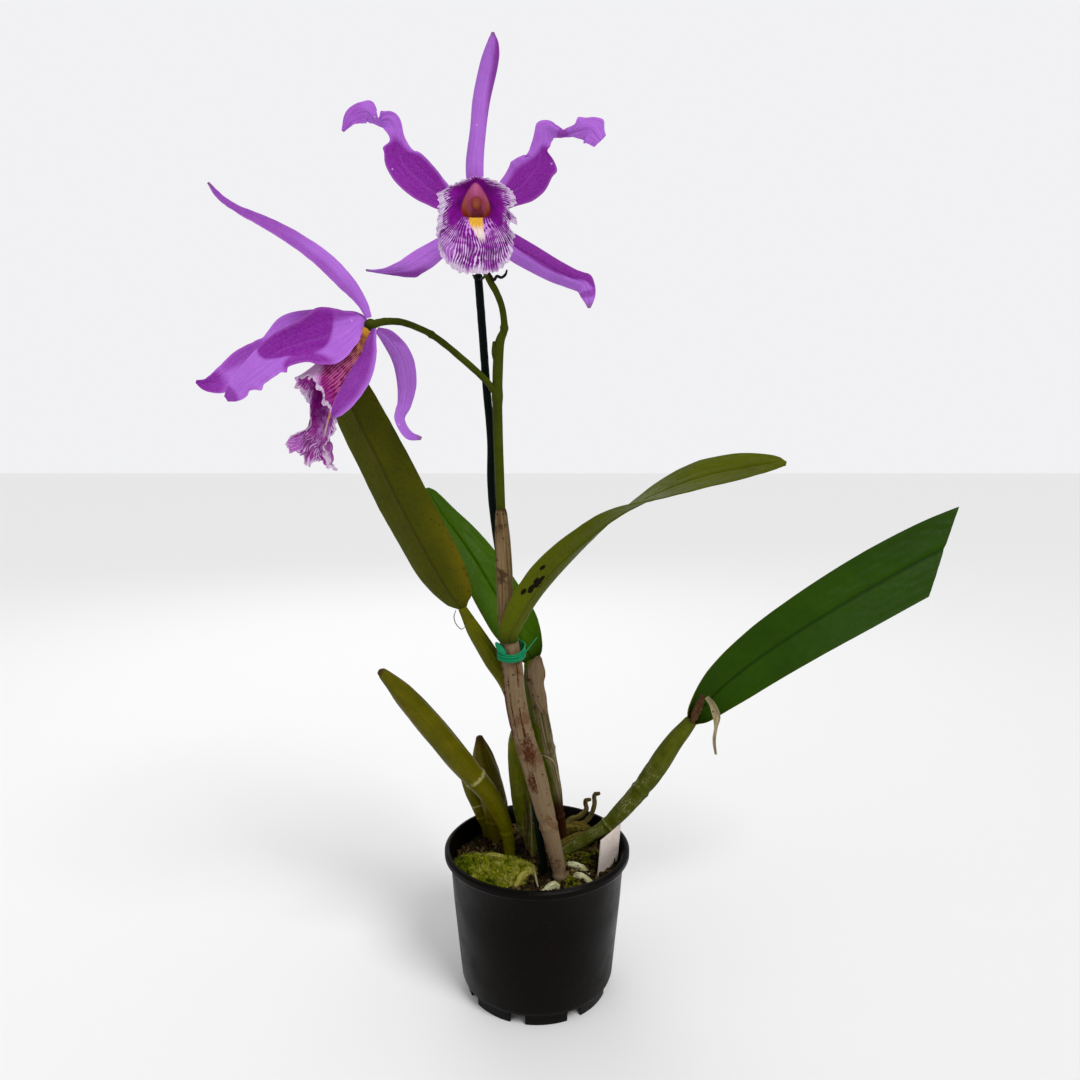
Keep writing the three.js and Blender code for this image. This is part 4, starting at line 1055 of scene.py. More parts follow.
# %% Copies of small shapes in one mesh
def small_shape(kind, squash, jitter, seed, **settings):
    """Models one small thing and gives its corners and faces, in its own unit size."""
    bpy.ops.object.select_all(action="DESELECT")
    getattr(bpy.ops.mesh, "primitive_" + kind + "_add")(**settings)
    thing = bpy.context.object
    draw = random.Random(seed)
    corners = []
    for vertex in thing.data.vertices:
        noise_step = Vector([draw.uniform(-jitter, jitter) for _ in range(3)])
        corners.append(Vector([c * k for c, k in zip(vertex.co + noise_step, squash)]))
    faces = [tuple(face.vertices) for face in thing.data.polygons]
    bpy.data.objects.remove(thing)
    return corners, faces


def scattered(name, copies, finish, slot):
    """copies: (shape, matrix in mm, tone). Makes them one mesh, with each copy's tone kept."""
    corners, faces, tones = [], [], []
    for (shape_corners, shape_faces), matrix, tone in copies:
        start = len(corners)
        corners += [matrix @ corner * MM for corner in shape_corners]
        faces += [tuple(start + k for k in face) for face in shape_faces]
        tones += [tone] * len(shape_corners)
    mesh = bpy.data.meshes.new(name)
    mesh.from_pydata(corners, [], faces)
    mesh.attributes.new("tone", "FLOAT", "POINT").data.foreach_set("value", tones)
    piece = bpy.data.objects.new(name, mesh)
    bpy.context.collection.objects.link(piece)
    dress(piece, slot, finish=finish)


def in_disc(draw):
    """An even draw inside a circle: the share of its radius, and the angle."""
    return math.sqrt(draw.random()), draw.uniform(0, 2 * math.pi)


def tumble(draw):
    """Turns about X and Y by a little, and about Z by any angle."""
    return [draw.uniform(-0.9, 0.9), draw.uniform(-0.9, 0.9), draw.uniform(0, 6.3)]


def placed(point, turns, size):
    about_x, about_y, about_z = (Matrix.Rotation(turn, 4, axis) for turn, axis in zip(turns, "XYZ"))
    return Matrix.Translation(point) @ (about_z @ about_y @ about_x) @ Matrix.Diagonal((size, size, size, 1))


# %% Bark chips
CHIP_SHAPES = [
    small_shape("cube", (1, 0.7, 0.4), 0.16, 1, size=1),
    small_shape("ico_sphere", (0.6, 0.5, 0.4), 0.12, 2, subdivisions=1, radius=1),
    small_shape("cylinder", (0.5, 0.3, 0.9), 0.1, 3, vertices=6, radius=0.5, depth=1.6),
    small_shape("ico_sphere", (0.7, 0.4, 0.35), 0.2, 4, subdivisions=2, radius=0.8),
]
CHIP_COUNT, CHIP_SIZES = 1500, [1.2, 1.6, 2.2, 3.2, 4.4]
draw = random.Random(41)
chips = []
for k in range(CHIP_COUNT):
    share, angle = in_disc(draw)
    radius = MIX_RADIUS * share * 0.97
    x, y = radius * math.cos(angle), radius * math.sin(angle)
    size = draw.choice(CHIP_SIZES) * draw.uniform(0.7, 1.2)
    turns = tumble(draw)
    place = Vector((x, y, mix_height(x, y) + 0.1 * size))
    chips.append((draw.choice(CHIP_SHAPES), placed(place, turns, size), draw.random() ** 1.6))
scattered("bark_chips", chips, bark_chip, "mix")

# %% [markdown]
# ## The moss
# Living moss is a cushion of thousands of tiny starry shoots. The cushion is a low mound, and
# each shoot is a whorl of narrow leaves round a short stem.

# %% Moss mound
MOSS_CENTRE, MOSS_REACH, MOSS_HEIGHT, MOSS_LIMIT = (-31, -20), (27, 23), 6, 55
MOUND_AROUND, MOUND_RINGS = 72, 25


def moss_height(share, angle):
    x, y = share * math.cos(angle), share * math.sin(angle)
    dome = MOSS_HEIGHT * (1 - share ** 3) ** 0.7
    lump = 1.3 * math.sin(9 * x + 2) * math.cos(8 * y) + 1.2 * grain(6 * x, 6 * y, 2)
    return dome + lump * min(1, 1.6 * (1 - share))


def moss_place(share, angle):
    edge = 1 + 0.12 * math.sin(3 * angle + 1)
    flat = Vector((MOSS_CENTRE[0] + share * edge * MOSS_REACH[0] * math.cos(angle),
                   MOSS_CENTRE[1] + share * edge * MOSS_REACH[1] * math.sin(angle), 0))
    if flat.length > MOSS_LIMIT:
        flat *= MOSS_LIMIT / flat.length
    flat.z = MIX_TOP - 0.4 + moss_height(share, angle)
    return flat


def mound_place(i, j):
    angle = 2 * math.pi * i / MOUND_AROUND
    if j == 0:
        return Vector((*MOSS_CENTRE, MIX_TOP - 1.5))
    return moss_place(1 - (j - 1) / (MOUND_RINGS - 1), angle) - Vector((0, 0, 0.8))


mound = laid_grid("moss_mound", MOUND_AROUND, MOUND_RINGS, mound_place, ring=True)
# The mound's dark tone is painted shade in the gaps between the shoots.
tones = [0.15] * len(mound.data.vertices)
mound.data.attributes.new("tone", "FLOAT", "POINT").data.foreach_set("value", tones)
dress(mound, "moss", "moss", finish=moss_green)


# %% Moss shoots
def whorl(leaves, rise, reach):
    """One shoot: narrow leaves that stand round a stem in two tiers."""
    corners, faces = [], []
    for k in range(leaves):
        angle = 2.4 * k
        height = rise * (0.25 + 0.75 * k / leaves)
        out = Vector((math.cos(angle), math.sin(angle), 0))
        side = Vector((-math.sin(angle), math.cos(angle), 0))
        start = len(corners)
        foot = Vector((0, 0, height - 0.2 * rise))
        knee = out * reach * 0.55 + Vector((0, 0, height))
        corners += [foot + side * 0.05, foot - side * 0.05, knee + side * 0.08, knee - side * 0.08,
                    out * reach + Vector((0, 0, height + 0.35 * rise))]
        faces += [(start, start + 2, start + 3, start + 1), (start + 2, start + 4, start + 3)]
    return corners, faces


SHOOTS = [whorl(7, 1.0, 0.85), whorl(8, 1.5, 0.6), whorl(6, 0.9, 1.1)]
SHOOT_COUNT = 5600
shoots = []
for k in range(SHOOT_COUNT):
    share, angle = in_disc(draw)
    size = draw.uniform(0.9, 2.5)
    turns = tumble(draw)
    place = moss_place(share, angle) - Vector((0, 0, 0.7))
    clump = 0.55 * grain(place.x / 7, place.y / 7, 4) + 0.7 * grain(place.x / 2.4, place.y / 2.4, 6)
    tone = min(1, max(0, 0.52 + 0.01 * place.x + 0.3 + clump + draw.uniform(-0.3, 0.3)))
    shoots.append((draw.choice(SHOOTS), placed(place, turns, size), tone))
scattered("moss_sprigs", shoots, moss_green, "moss")

# %% Thin moss on the mix by the pale roots
THIN_COUNT = 260
# Centre and reach of each patch.
THIN_MOSS = [
    ((22, -29), (9, 6)), ((33, 8), (12, 9)), ((15, 1), (7, 7)), ((44, 8), (7, 6)), ((30, -6), (8, 6)),
    ((4, 26), (9, 6))]
thin = []
for (x, y), (wide, deep) in THIN_MOSS:
    for k in range(THIN_COUNT):
        share, angle = in_disc(draw)
        place = Vector((x + wide * share * math.cos(angle), y + deep * share * math.sin(angle), 0))
        place.z = mix_height(place.x, place.y) - 0.2
        size = draw.uniform(0.7, 1.5)
        turns = tumble(draw)
        thin.append((draw.choice(SHOOTS), placed(place, turns, size), draw.uniform(0.1, 0.8)))
scattered("moss_patches", thin, moss_green, "moss")

# %% [markdown]
# ## Stake, tie and label
# A thin coated stake stands behind the flower stem. A soft tie winds round the canes and the
# stake, and ends in a twisted bow and a short tail. The label is a thin bare plate.

# %% Stake
STAKE_RADIUS = 2.5
STAKE = [
    (5.5, -16.5, 40), (5, -16.5, 85), (0, -15.5, 124), (-15, -13.2, 238), (-27.5, -13, 329),
    (-28.5, -13, 372), (-31, -13, 404), (-33, -13, 435), (-35.5, -13, 471)]


def stake_relief(angle, t):
    return 0.15 * grain(3 * math.cos(angle), 3 * math.sin(angle), 60 * t)


stake = stalk("stake_rod", [(*row, STAKE_RADIUS) for row in STAKE], 24, 160, stake_relief, tip=0.5)
dress(stake, "stake", "stake", finish=stake_plastic)

# %% Tie
TIE_CENTRE = Vector((-16.2, -20.8, 239))
TIE_INSIDE = (7.7, 11.2)
TIE_RADIUS, TIE_TURNS, TIE_HEIGHT = 0.66, 5, 8.4
TIE_ROWS = 20  # rows in each turn
UPRIGHT = Vector((0, 0, 1))
tie_rows = []
for k in range(TIE_TURNS * TIE_ROWS + 1):
    angle = 2 * math.pi * k / TIE_ROWS + 1.2
    front = max(0, -math.sin(angle))
    loose = 0.25 * grain(k * 0.13, 2) + TIE_RADIUS + 0.15 + 0.7 * front * (k // TIE_ROWS % 2)
    height = TIE_HEIGHT * (k / (TIE_TURNS * TIE_ROWS) - 0.5) * (1 - 0.45 * front) - 1.9 * front
    tie_rows.append((TIE_CENTRE.x + (TIE_INSIDE[0] + loose) * math.cos(angle),
                     TIE_CENTRE.y + (TIE_INSIDE[1] + loose) * math.sin(angle), TIE_CENTRE.z + height,
                     TIE_RADIUS))
turns_of_tie = stalk("tie_turns", tie_rows, 10, TIE_TURNS * 48, tip=0.6, reference=UPRIGHT)
dress(turns_of_tie, "tie", "tie", finish=tie_plastic)

# %% Bow and tail of the tie
TIE_BOW = [
    (-25.5, -25.5, 245.5, 0.7), (-24.6, -27.5, 244.8, 1.5), (-22.5, -30, 242.6, 2.1),
    (-20.4, -31.2, 240.4, 1.5), (-19.6, -31.2, 238.6, 0.8)]
TIE_TAIL = [
    (-18.6, -32, 236.2, 0.75), (-12.6, -31.2, 236.6, 0.75), (-9.2, -29, 238.4, 0.7), (-7, -30, 241, 0.55),
    (-3.5, -30.5, 245.5, 0.4), (0, -30, 250, 0.4)]
dress(stalk("tie_bow", TIE_BOW, 12, 30, tip=0.6), "tie", finish=tie_plastic)
dress(stalk("tie_tail", TIE_TAIL, 10, 50, tip=0.6, reference=UPRIGHT), "tie", finish=tie_plastic)

# %% Label plate
LABEL_FOOT = Vector((47.3, -12, MIX_TOP))
LABEL_ACROSS, LABEL_LEAN = Vector((15, 23, 0)), Vector((4.5, 3, 26))
LABEL_SIZE, LABEL_BURIED = Vector((27, 0.8, 56)), 30
label_side = LABEL_ACROSS.normalized()
label_face = label_side.cross(LABEL_LEAN).normalized()
label_up = label_face.cross(label_side)
bpy.ops.object.select_all(action="DESELECT")
bpy.ops.mesh.primitive_cube_add(size=1)
label = bpy.context.object
label.name = "label_plate"
turn = Matrix((label_side, -label_face, label_up)).transposed().to_4x4()
centre = LABEL_FOOT + label_up * (LABEL_SIZE[2] / 2 - LABEL_BURIED)
label.matrix_world = Matrix.Translation(centre * MM) @ turn @ Matrix.Diagonal((*(LABEL_SIZE * MM), 1))
settled(label)
edit(bpy.ops.mesh.subdivide, number_cuts=12)
for vertex in label.data.vertices:
    across = (vertex.co / MM - centre).dot(label_side) / LABEL_SIZE[0]
    vertex.co -= label_face * (0.5 * across * across) * MM
apply(label, "BEVEL", width=0.2 * MM, segments=2, limit_method="ANGLE", angle_limit=math.radians(50))
smooth_by_angle(label, 40)
dress(label, "label", "plant_label", finish=label_plastic)

# %% [markdown]
# ## Canes, bulbs and roots
# Each shoot of the plant is a cane that swells upwards, ribbed and wrinkled as it ages, with a
# ring at each old joint. Its rows are x, y, z and radius in millimetres, from below the mix up.

# %% Rows of the canes
CANES = {
    "front_cane": [(16, -24, 74, 3.6), (15, -24, 90, 4.4), (10, -24, 114, 5.2), (4, -24, 138, 6.4),
        (-2, -24, 162, 7), (-9, -24, 186, 6.8), (-13.5, -24, 209, 6.7), (-15.5, -24, 230, 6.5),
        (-17, -24, 245, 5.6)],
    "left_cane": [(13, -4, 76, 3.2), (12, -4, 92, 3.6), (6, -3, 120, 4.4), (-1, -2, 150, 5),
        (-9, -2, 182, 5.8), (-18, -3, 211, 6.2), (-29, -7, 230, 6), (-39, -11, 248, 5),
        (-47, -14.5, 264.5, 2.8)],
    "rear_cane": [(18.5, 26, 76, 2.8), (18, 25, 96, 2.9), (15.5, 22, 112, 3.2), (12, 19, 132, 4.6),
        (7, 16, 154, 6.2), (1, 12, 185, 7), (-2.5, 10, 208, 6.4), (-3.5, 8.5, 222, 5.4)],
    "right_cane": [(6, 6, 78, 3), (20, 8, 89, 3.4), (37, 9, 99.5, 4.1), (50, 10, 108.5, 5),
        (68, 11, 128.5, 6), (81, 12, 146, 6.8), (93, 14, 164, 6.2), (105, 16, 179, 4.4)],
    "leafless_bulb": [(-19, 4, 78, 3.4), (-19.5, 3, 98, 3.9), (-23, 1, 115, 5), (-32, -1.5, 134, 6.4),
        (-46, -5, 153.5, 7.8), (-59, -10, 172.5, 8.3), (-72.5, -15.5, 192.5, 8), (-85, -20.5, 210.5, 6.6),
        (-96, -25, 224.5, 3.6), (-98.5, -26, 227, 2.2)],
    "short_bulb": [(-27, 29, 76, 4.6), (-28, 28, 92, 6), (-30, 28, 112, 8.8), (-34, 28, 130, 9.2),
        (-38, 28, 148, 7.4), (-40.5, 28, 163, 2.6)],
    "back_bulb": [(-34, 36, 76, 3.2), (-36, 35.5, 92, 4), (-42, 36, 110, 5.8), (-48, 37, 125, 6),
        (-53, 38, 139, 3.4), (-54, 38, 142, 1.6)],
    "centre_bulb": [(0, 11, 76, 4.2), (-2.5, 11.5, 92, 5.2), (-8, 12.5, 110, 6.6), (-10.5, 13, 128, 7.4),
        (-12.5, 13, 148, 7.2), (-14, 12, 166, 5.6), (-13, 12, 181, 2.2)],
}
# Ribs: how many and how deep. Rings: where along the cane its old joints stand proud.
CANE_LOOKS = {
    "front_cane": (sheath_grey, 14, 0.18, (0.12, 0.3, 0.62)),
    "left_cane": (cane_green, 12, 0.16, (0.2, 0.55)),
    "rear_cane": (cane_papery, 12, 0.2, (0.25, 0.6)),
    "right_cane": (cane_netted, 12, 0.22, (0.415, 0.6)),
    "leafless_bulb": (bulb_olive, 9, 0.22, (0.16, 0.405)),
    "short_bulb": (bulb_short, 8, 0.35, (0.3,)),
    "back_bulb": (bulb_olive, 8, 0.2, (0.3,)),
    "centre_bulb": (bulb_fibrous, 9, 0.25, (0.3,)),
}

# %% Shape each cane
for k, (node, rows) in enumerate(CANES.items()):
    finish, ribs, depth, rings = CANE_LOOKS[node]

    def cane_relief(angle, t, seed=k * 3.7, ribs=ribs, depth=depth, rings=rings):
        wander = 0.8 * grain(seed, 4 * t)
        rib = depth * math.sin(ribs * (angle + wander))
        rib *= 0.6 + 0.8 * grain(seed + 5, 7 * t, math.cos(angle))
        lump = 0.35 * grain(2 * math.cos(angle) + seed, 2 * math.sin(angle), 9 * t)
        ring = sum(0.55 * math.exp(-((t - at) / 0.008) ** 2) - 0.3 * math.exp(-((t - at - 0.02) / 0.012) ** 2)
                   for at in rings)
        return rib + lump + ring

    dress(stalk(node + "_body", rows, 56, 170, cane_relief, tip=1.1), "cane", node, finish=finish)

# %% Rootstock, aerial roots and white roots
ROOTSTOCK = [(2, 23, 84, 3.2), (12, 35, 88.5, 4.2), (25, 38, 91, 4.6), (35, 36, 91, 4), (40, 30, 86, 3)]
AERIAL_ROOTS = [
    [(19, 37, 92, 1.8), (24, 39, 97, 1.8), (31, 40, 99, 1.9), (35.5, 40, 104, 1.7), (35, 40, 110.5, 1.6),
     (38.5, 39.5, 112, 1.2)],
    [(31, 38, 93, 1.8), (38, 40, 98, 1.8), (41.5, 41, 107, 1.7), (41.5, 41, 114.5, 1.6),
     (45, 40, 116.5, 1.2)],
]
WHITE_ROOTS = [
    [(18, -9, 84, 1.8), (22, -10, 88.5, 2.1), (29, -14, 89, 2.2), (35, -19, 86, 1.8)],
    [(22.5, -22, 84, 1.8), (26.5, -23.5, 88.5, 2.2), (32, -28, 88.5, 2.2), (38, -33, 85, 1.8)],
    [(14, -33, 84.5, 2), (11, -35, 88.5, 2.4), (7, -39, 88.5, 2.2), (3, -42, 85, 1.8)],
]


def root_relief(seed, depth):
    return lambda angle, t: depth * grain(1.5 * math.cos(angle) + seed, 1.5 * math.sin(angle), 14 * t)


rootstock = stalk("rootstock_log", ROOTSTOCK, 40, 90, root_relief(2, 1.1))
dress(rootstock, "rootstock", "rhizome", finish=rootstock_bark)
for k, rows in enumerate(AERIAL_ROOTS):
    root = stalk(f"aerial_root_{k + 1}", rows, 20, 60, root_relief(k, 0.4))
    dress(root, "rootstock", finish=root_brown)
for k, rows in enumerate(WHITE_ROOTS):
    root = stalk(f"pale_root_{k + 1}", rows, 20, 50, root_relief(k + 7, 0.5))
    dress(root, "root", f"white_root_{k + 1}", finish=root_white)

# %% [markdown]
# ## Leaves
# Each row of a leaf is x, y, z of its midrib, its width, its turn away from facing front and
# its curl: half the angle that its section bends through towards the face. The blade is laid on
# that line, gets its midrib groove and low ribs as real relief, and then its thickness.

# %% Rows of the leaves
LEAVES = {
    "left_leaf": [(-47.25, -14.8, 265, 7, 165, 60), (-51, -18, 271, 23, 160, 40),
        (-61, -23, 289, 36, 155, 26), (-72, -28, 312, 39.5, 152, 20), (-83, -33, 336, 40, 150, 16),
        (-93, -38, 360, 38.5, 150, 14), (-103, -43, 383, 36, 150, 12), (-111.5, -48, 405, 29, 150, 12),
        (-117, -52, 422, 12, 150, 10), (-119, -53, 427, 3, 150, 6)],
    "rear_leaf": [(-3.6, 8.4, 222.9, 10, 20, 70), (-7, 10, 231, 24, 22, 52), (-15.5, 13.5, 247, 34, 25, 32),
        (-27, 18, 266, 34, 28, 24), (-39.5, 24, 286, 31, 30, 20), (-52, 30, 303.5, 26, 30, 18),
        (-64, 36, 318.5, 19, 30, 14), (-74, 41, 333, 10, 30, 10), (-78, 43, 336, 3, 30, 6)],
    "arching_leaf": [(-17.2, -30.3, 246.6, 13.4, 190, 60), (-17, -30.8, 250.5, 14.6, 195, 60),
        (-14.5, -32, 257, 17, 203, 55), (-4.5, -34, 275, 22, 216, 44), (10, -38, 294.5, 26, 226, 32),
        (28, -42, 312.5, 28, 238, 24), (47, -48, 328.5, 31, 254, 20), (68.5, -56, 341, 32, 276, 18),
        (91, -65, 351, 31, 292, 18), (113, -73, 357, 26, 298, 16), (129, -79, 360, 14, 300, 12),
        (135.5, -82, 360.5, 3, 300, 8)],
    "right_leaf": [(105.45, 16.07, 179.6, 9, -10, 75), (111.5, 17, 186.5, 21, -12, 58),
        (129, 19, 204.5, 33, -15, 36), (156.5, 23, 225, 40, -18, 24), (186, 27, 243.5, 44, -20, 18),
        (217, 32, 261, 47, -20, 14), (249, 37, 278, 48, -20, 10), (282, 42, 294, 47, -20, 8),
        (315, 47, 308.5, 43, -20, 8)],
}
LEAF_THICKNESS = 1.7
LEAF_CUT_AT, LEAF_CUT_TILT = Vector((284.5, 41, 296)), 25
LEAF_LOOKS = {
    "left_leaf": (leaf_upper, leaf_under),
    "rear_leaf": (leaf_upper, leaf_under),
    "arching_leaf": (leaf_arched, leaf_arched),
    "right_leaf": (leaf_dark, leaf_under),
}


def leaf_relief(seed, length):
    def relief(s, t):
        groove = -0.9 * math.exp(-(s / 0.07) ** 2)
        ribs = 0.03 * math.sin(26 * s + 2 * grain(seed, 3 * t))
        soft = 0.7 * grain(seed + 1.6 * s, t * length / 30) + 0.25 * grain(seed + 6 * s, t * length / 6)
        return (groove + ribs + soft) * smoothstep(0, 0.1, t)
    return relief


# %% Lay each leaf
for k, (node, rows) in enumerate(LEAVES.items()):
    leaf = blade(node + "_blade", rows, 48, 190, leaf_relief(k * 5.3, 200))
    thicken(leaf, LEAF_THICKNESS, 0.4, LEAF_LOOKS[node])
    if node == "right_leaf":
        tilt = math.radians(LEAF_CUT_TILT)
        edit(bpy.ops.mesh.bisect, plane_co=LEAF_CUT_AT * MM, plane_no=(math.cos(tilt), 0, -math.sin(tilt)),
             use_fill=True, clear_outer=True)
        smooth_by_angle(leaf, 50)
    dress(leaf, "leaf", node)

# %% [markdown]
# ## Flower stem and dry papery parts
# The stem rises out of a dry papery spathe, forks below the top bloom and carries a small bract
# at the fork. Each stalk ends in a round head that the sepals and petals grow from.

# %% Stem
STEM = [
    (-17.6, -23.6, 245.4, 2.6), (-19, -24, 262, 2.6), (-20, -24, 298, 2.7), (-22, -24, 330, 2.8),
    (-23.2, -24, 365, 2.9), (-23.7, -24.5, 398, 3), (-22.4, -26, 427, 2.9), (-19.2, -27.5, 438, 2.1),
    (-20.2, -30, 449, 1.9), (-23.5, -33, 458, 1.9), (-28, -36, 466, 1.9), (-32.3, -40, 479, 2),
    (-33.3, -44.5, 490, 2.2), (-33, -46.5, 494.5, 2.4)]
LEFT_STALK = [
    (-24, -24.5, 398, 1.6), (-30, -26.5, 407, 2), (-46.5, -33, 422, 2), (-61, -41, 433, 1.9),
    (-75, -50, 438.5, 1.9), (-84.5, -56.5, 438.5, 2), (-90.5, -61, 436.5, 2.2)]
BRACT = [(-23, -24.5, 418, 2.6), (-24.6, -25.5, 424, 2.4), (-25.4, -27, 430, 0.9)]
TOP_BLOOM, LEFT_BLOOM = (-33, -48, 496), (-92, -62, 436)
HEAD = [(2.4, 2.4), (1.2, 3.2), (0, 3.4), (-1.4, 3), (-2.2, 2)]  # how far back, radius


def stem_relief(rings):
    def relief(angle, t):
        ring = sum(0.5 * math.exp(-((t - at) / 0.01) ** 2) for at in rings)
        return ring + 0.12 * math.sin(7 * angle) + 0.2 * grain(math.cos(angle), math.sin(angle), 20 * t)
    return relief


stem = stalk("stem_rod", STEM, 28, 260, stem_relief((0.385, 0.54)))
dress(stem, "stem", "flower_stem", finish=stem_green)
for name, rows, rings in (("branch_stalk", LEFT_STALK, (0.1, 0.5)), ("fork_bract", BRACT, ())):
    dress(stalk(name, rows, 22, 90, stem_relief(rings)), "stem", finish=stem_green)
for name, (x, y, z) in (("top_head", TOP_BLOOM), ("left_head", LEFT_BLOOM)):
    rows = [(x, y + back, z, radius) for back, radius in HEAD]
    dress(stalk(name, rows, 24, 20, root_relief(3, 0.25), reference=UPRIGHT), "stem", finish=stem_green)

# %% Spathes and the shred
SPATHE = [
    (-17.9, -28.5, 245.5, 23, 4, -150), (-19.4, -28.7, 262, 24, 4, -148), (-20, -28.9, 285, 25, 0, -145),
    (-21, -28.7, 308, 23, 0, -140), (-21.7, -28.1, 322, 15, 0, -110), (-22, -27.8, 330, 7, 0, -60)]
OLD_SPATHE = [
    (105.8, 12.6, 180.2, 1.7), (107.8, 10.6, 187, 2.6), (110.5, 9.6, 195, 2.2), (112, 9.2, 200, 1.4)]
DRY_SHRED = [
    (114.4, 8.5, 199, 3, 10, 20), (118, 6.5, 195, 5, 30, 40), (120.5, 5.5, 188, 6, 10, 50),
    (120, 5, 179, 4, -40, 40), (119.5, 5, 170, 2.4, -10, 30), (121, 5, 160, 1.4, 10, 10)]
PAPER_EDGE = 0.6


def paper_relief(seed, length, depth):
    def relief(s, t):
        folds = depth * math.sin(17 * s + 3 * grain(seed, 2 * t)) * (0.5 + grain(seed + 3, 5 * t, s))
        return folds + 1.2 * depth * grain(seed + 3 * s, t * length / 7)
    return relief


spathe = blade("spathe_sheet", SPATHE, 64, 120, paper_relief(4, 80, 0.35))
thicken(spathe, 0.45, PAPER_EDGE, [spathe_paper])
dress(spathe, "dry_sheath", "spathe")
old_spathe = stalk("old_spathe_stub", OLD_SPATHE, 24, 50, root_relief(9, 0.9), tip=0.6)
dress(old_spathe, "dry_sheath", "old_spathe", finish=stub_brown)
shred = blade("dry_shred_strip", DRY_SHRED, 12, 90, paper_relief(8, 45, 0.25))
thicken(shred, 0.35, PAPER_EDGE, [shred_straw])
dress(shred, "dry_sheath", "dry_shred")

# %% Loose fibres, twigs and the torn curl
# Slot, finish, radius and the points that each runs through.
STRAWS = {
    "leaf_fibre": ("dry_sheath", stub_brown, 0.28, [(-51.7, -13, 263.8), (-52.9, -14, 259.4),
        (-51.7, -14, 254.9), (-48.5, -14, 251.6), (-46, -14, 252.9)]),
    "torn_curl": ("dry_sheath", shred_straw, 0.45, [(3, 8, 158.4), (7.4, 4, 158.4), (10.8, 4, 155.8),
        (12.5, 5, 151.8), (13.2, 6, 146.4), (14.6, 8, 139.8)]),
    "bulb_fibre_1": ("mix", stub_brown, 0.5, [(-7.5, 5, 127.5), (-6.2, 4.6, 113.1), (-6.9, 5, 100.1),
        (-5.5, 4, 90)]),
    "bulb_fibre_2": ("mix", shred_straw, 0.4, [(-4.8, 6, 125.4), (-3.8, 5.4, 109.5), (-3.5, 3, 89)]),
    "bulb_fibre_3": ("mix", stub_brown, 0.45, [(-8.9, 4.4, 119.4), (-8.3, 4, 106.4), (-7.6, 3, 89)]),
    "twig_1": ("mix", stub_brown, 0.45, [(-26.6, 24, 89), (-21, 16, 93), (-14.6, 7.5, 89.5)]),
    "twig_2": ("mix", stub_brown, 0.4, [(-14.3, 22, 89), (-19, 15, 94), (-24, 8, 89.5)]),
    "twig_3": ("mix", stub_brown, 0.4, [(-27, 14, 89.5), (-20, 15, 93.4), (-12, 17, 90)]),
    "dry_stick": ("mix", shred_straw, 0.7, [(-2.7, -8, 88), (-1.8, -20, 89.6), (-0.4, -30, 89.4),
        (0.7, -36, 88)]),
    "wood_in_moss": ("root", cream_wood, 1.7, [(-37, -5, 92), (-30.4, -6.5, 93.6), (-24, -8.6, 93.4),
        (-18, -10.6, 91.4)]),
    "root_in_moss": ("root", cream_wood, 2.2, [(-14, -38, 88.6), (-10.6, -31, 91), (-7, -25, 90.6),
        (-4, -20, 88.6)]),
    "second_log": ("rootstock", rootstock_bark, 2.9, [(14, 19, 87), (24, 22, 90.4), (34, 25, 92),
        (43, 30, 90), (48, 34, 87)]),
    "wire_twist": ("stake", wire_dark, 0.8, [(-38.7, -12, 471.2), (-36.9, -16.4, 468.4), (-34, -17, 467.8),
        (-30.9, -30, 467), (-28.1, -37.4, 468.1), (-26.3, -38.4, 466.2), (-24.6, -37, 464.2),
        (-23, -35, 466.7), (-20.7, -33, 466.2), (-18.4, -32, 467.8), (-17.3, -31, 470.8)]),
}
for k, (name, (slot, finish, radius, points)) in enumerate(STRAWS.items()):
    rows = [(*point, radius * (0.6 if point in (points[0], points[-1]) else 1)) for point in points]
    straw = stalk(name, rows, 14, 12 * len(points), root_relief(k + 20, 0.22 * radius), tip=0.8,
                  reference=Vector((0.3, -0.2, 1)))
    dress(straw, slot, finish=finish)

# %% The papery sheath at the top of the rear cane
REAR_SHEATH = [
    (5.6, 6.3, 188, 3, 45, -20), (5.2, 6, 193, 12, 45, -60), (3.9, 5.3, 200, 17, 45, -75),
    (2.7, 4.8, 208, 19, 45, -78), (2.6, 3.8, 214, 21, 40, -70), (1.8, 3.4, 220, 19, 40, -72),
    (1, 3.6, 225, 12, 40, -60), (0.8, 3.8, 229, 3, 40, -20)]
rear_sheath = blade("rear_cane_sheath", REAR_SHEATH, 40, 90, paper_relief(14, 42, 0.4))
thicken(rear_sheath, 0.4, PAPER_EDGE, [sheath_grey])
dress(rear_sheath, "dry_sheath")

# %% [markdown]
# ## Sepals and petals
# Every sepal and petal has its own rows, from its base at the stalk's head outwards, measured
# from the bloom's centre. Bumps push one edge out or in over a short length: the side, the place
# along, the length and the millimetres. Old petals crumple, so their edges ripple finely too.

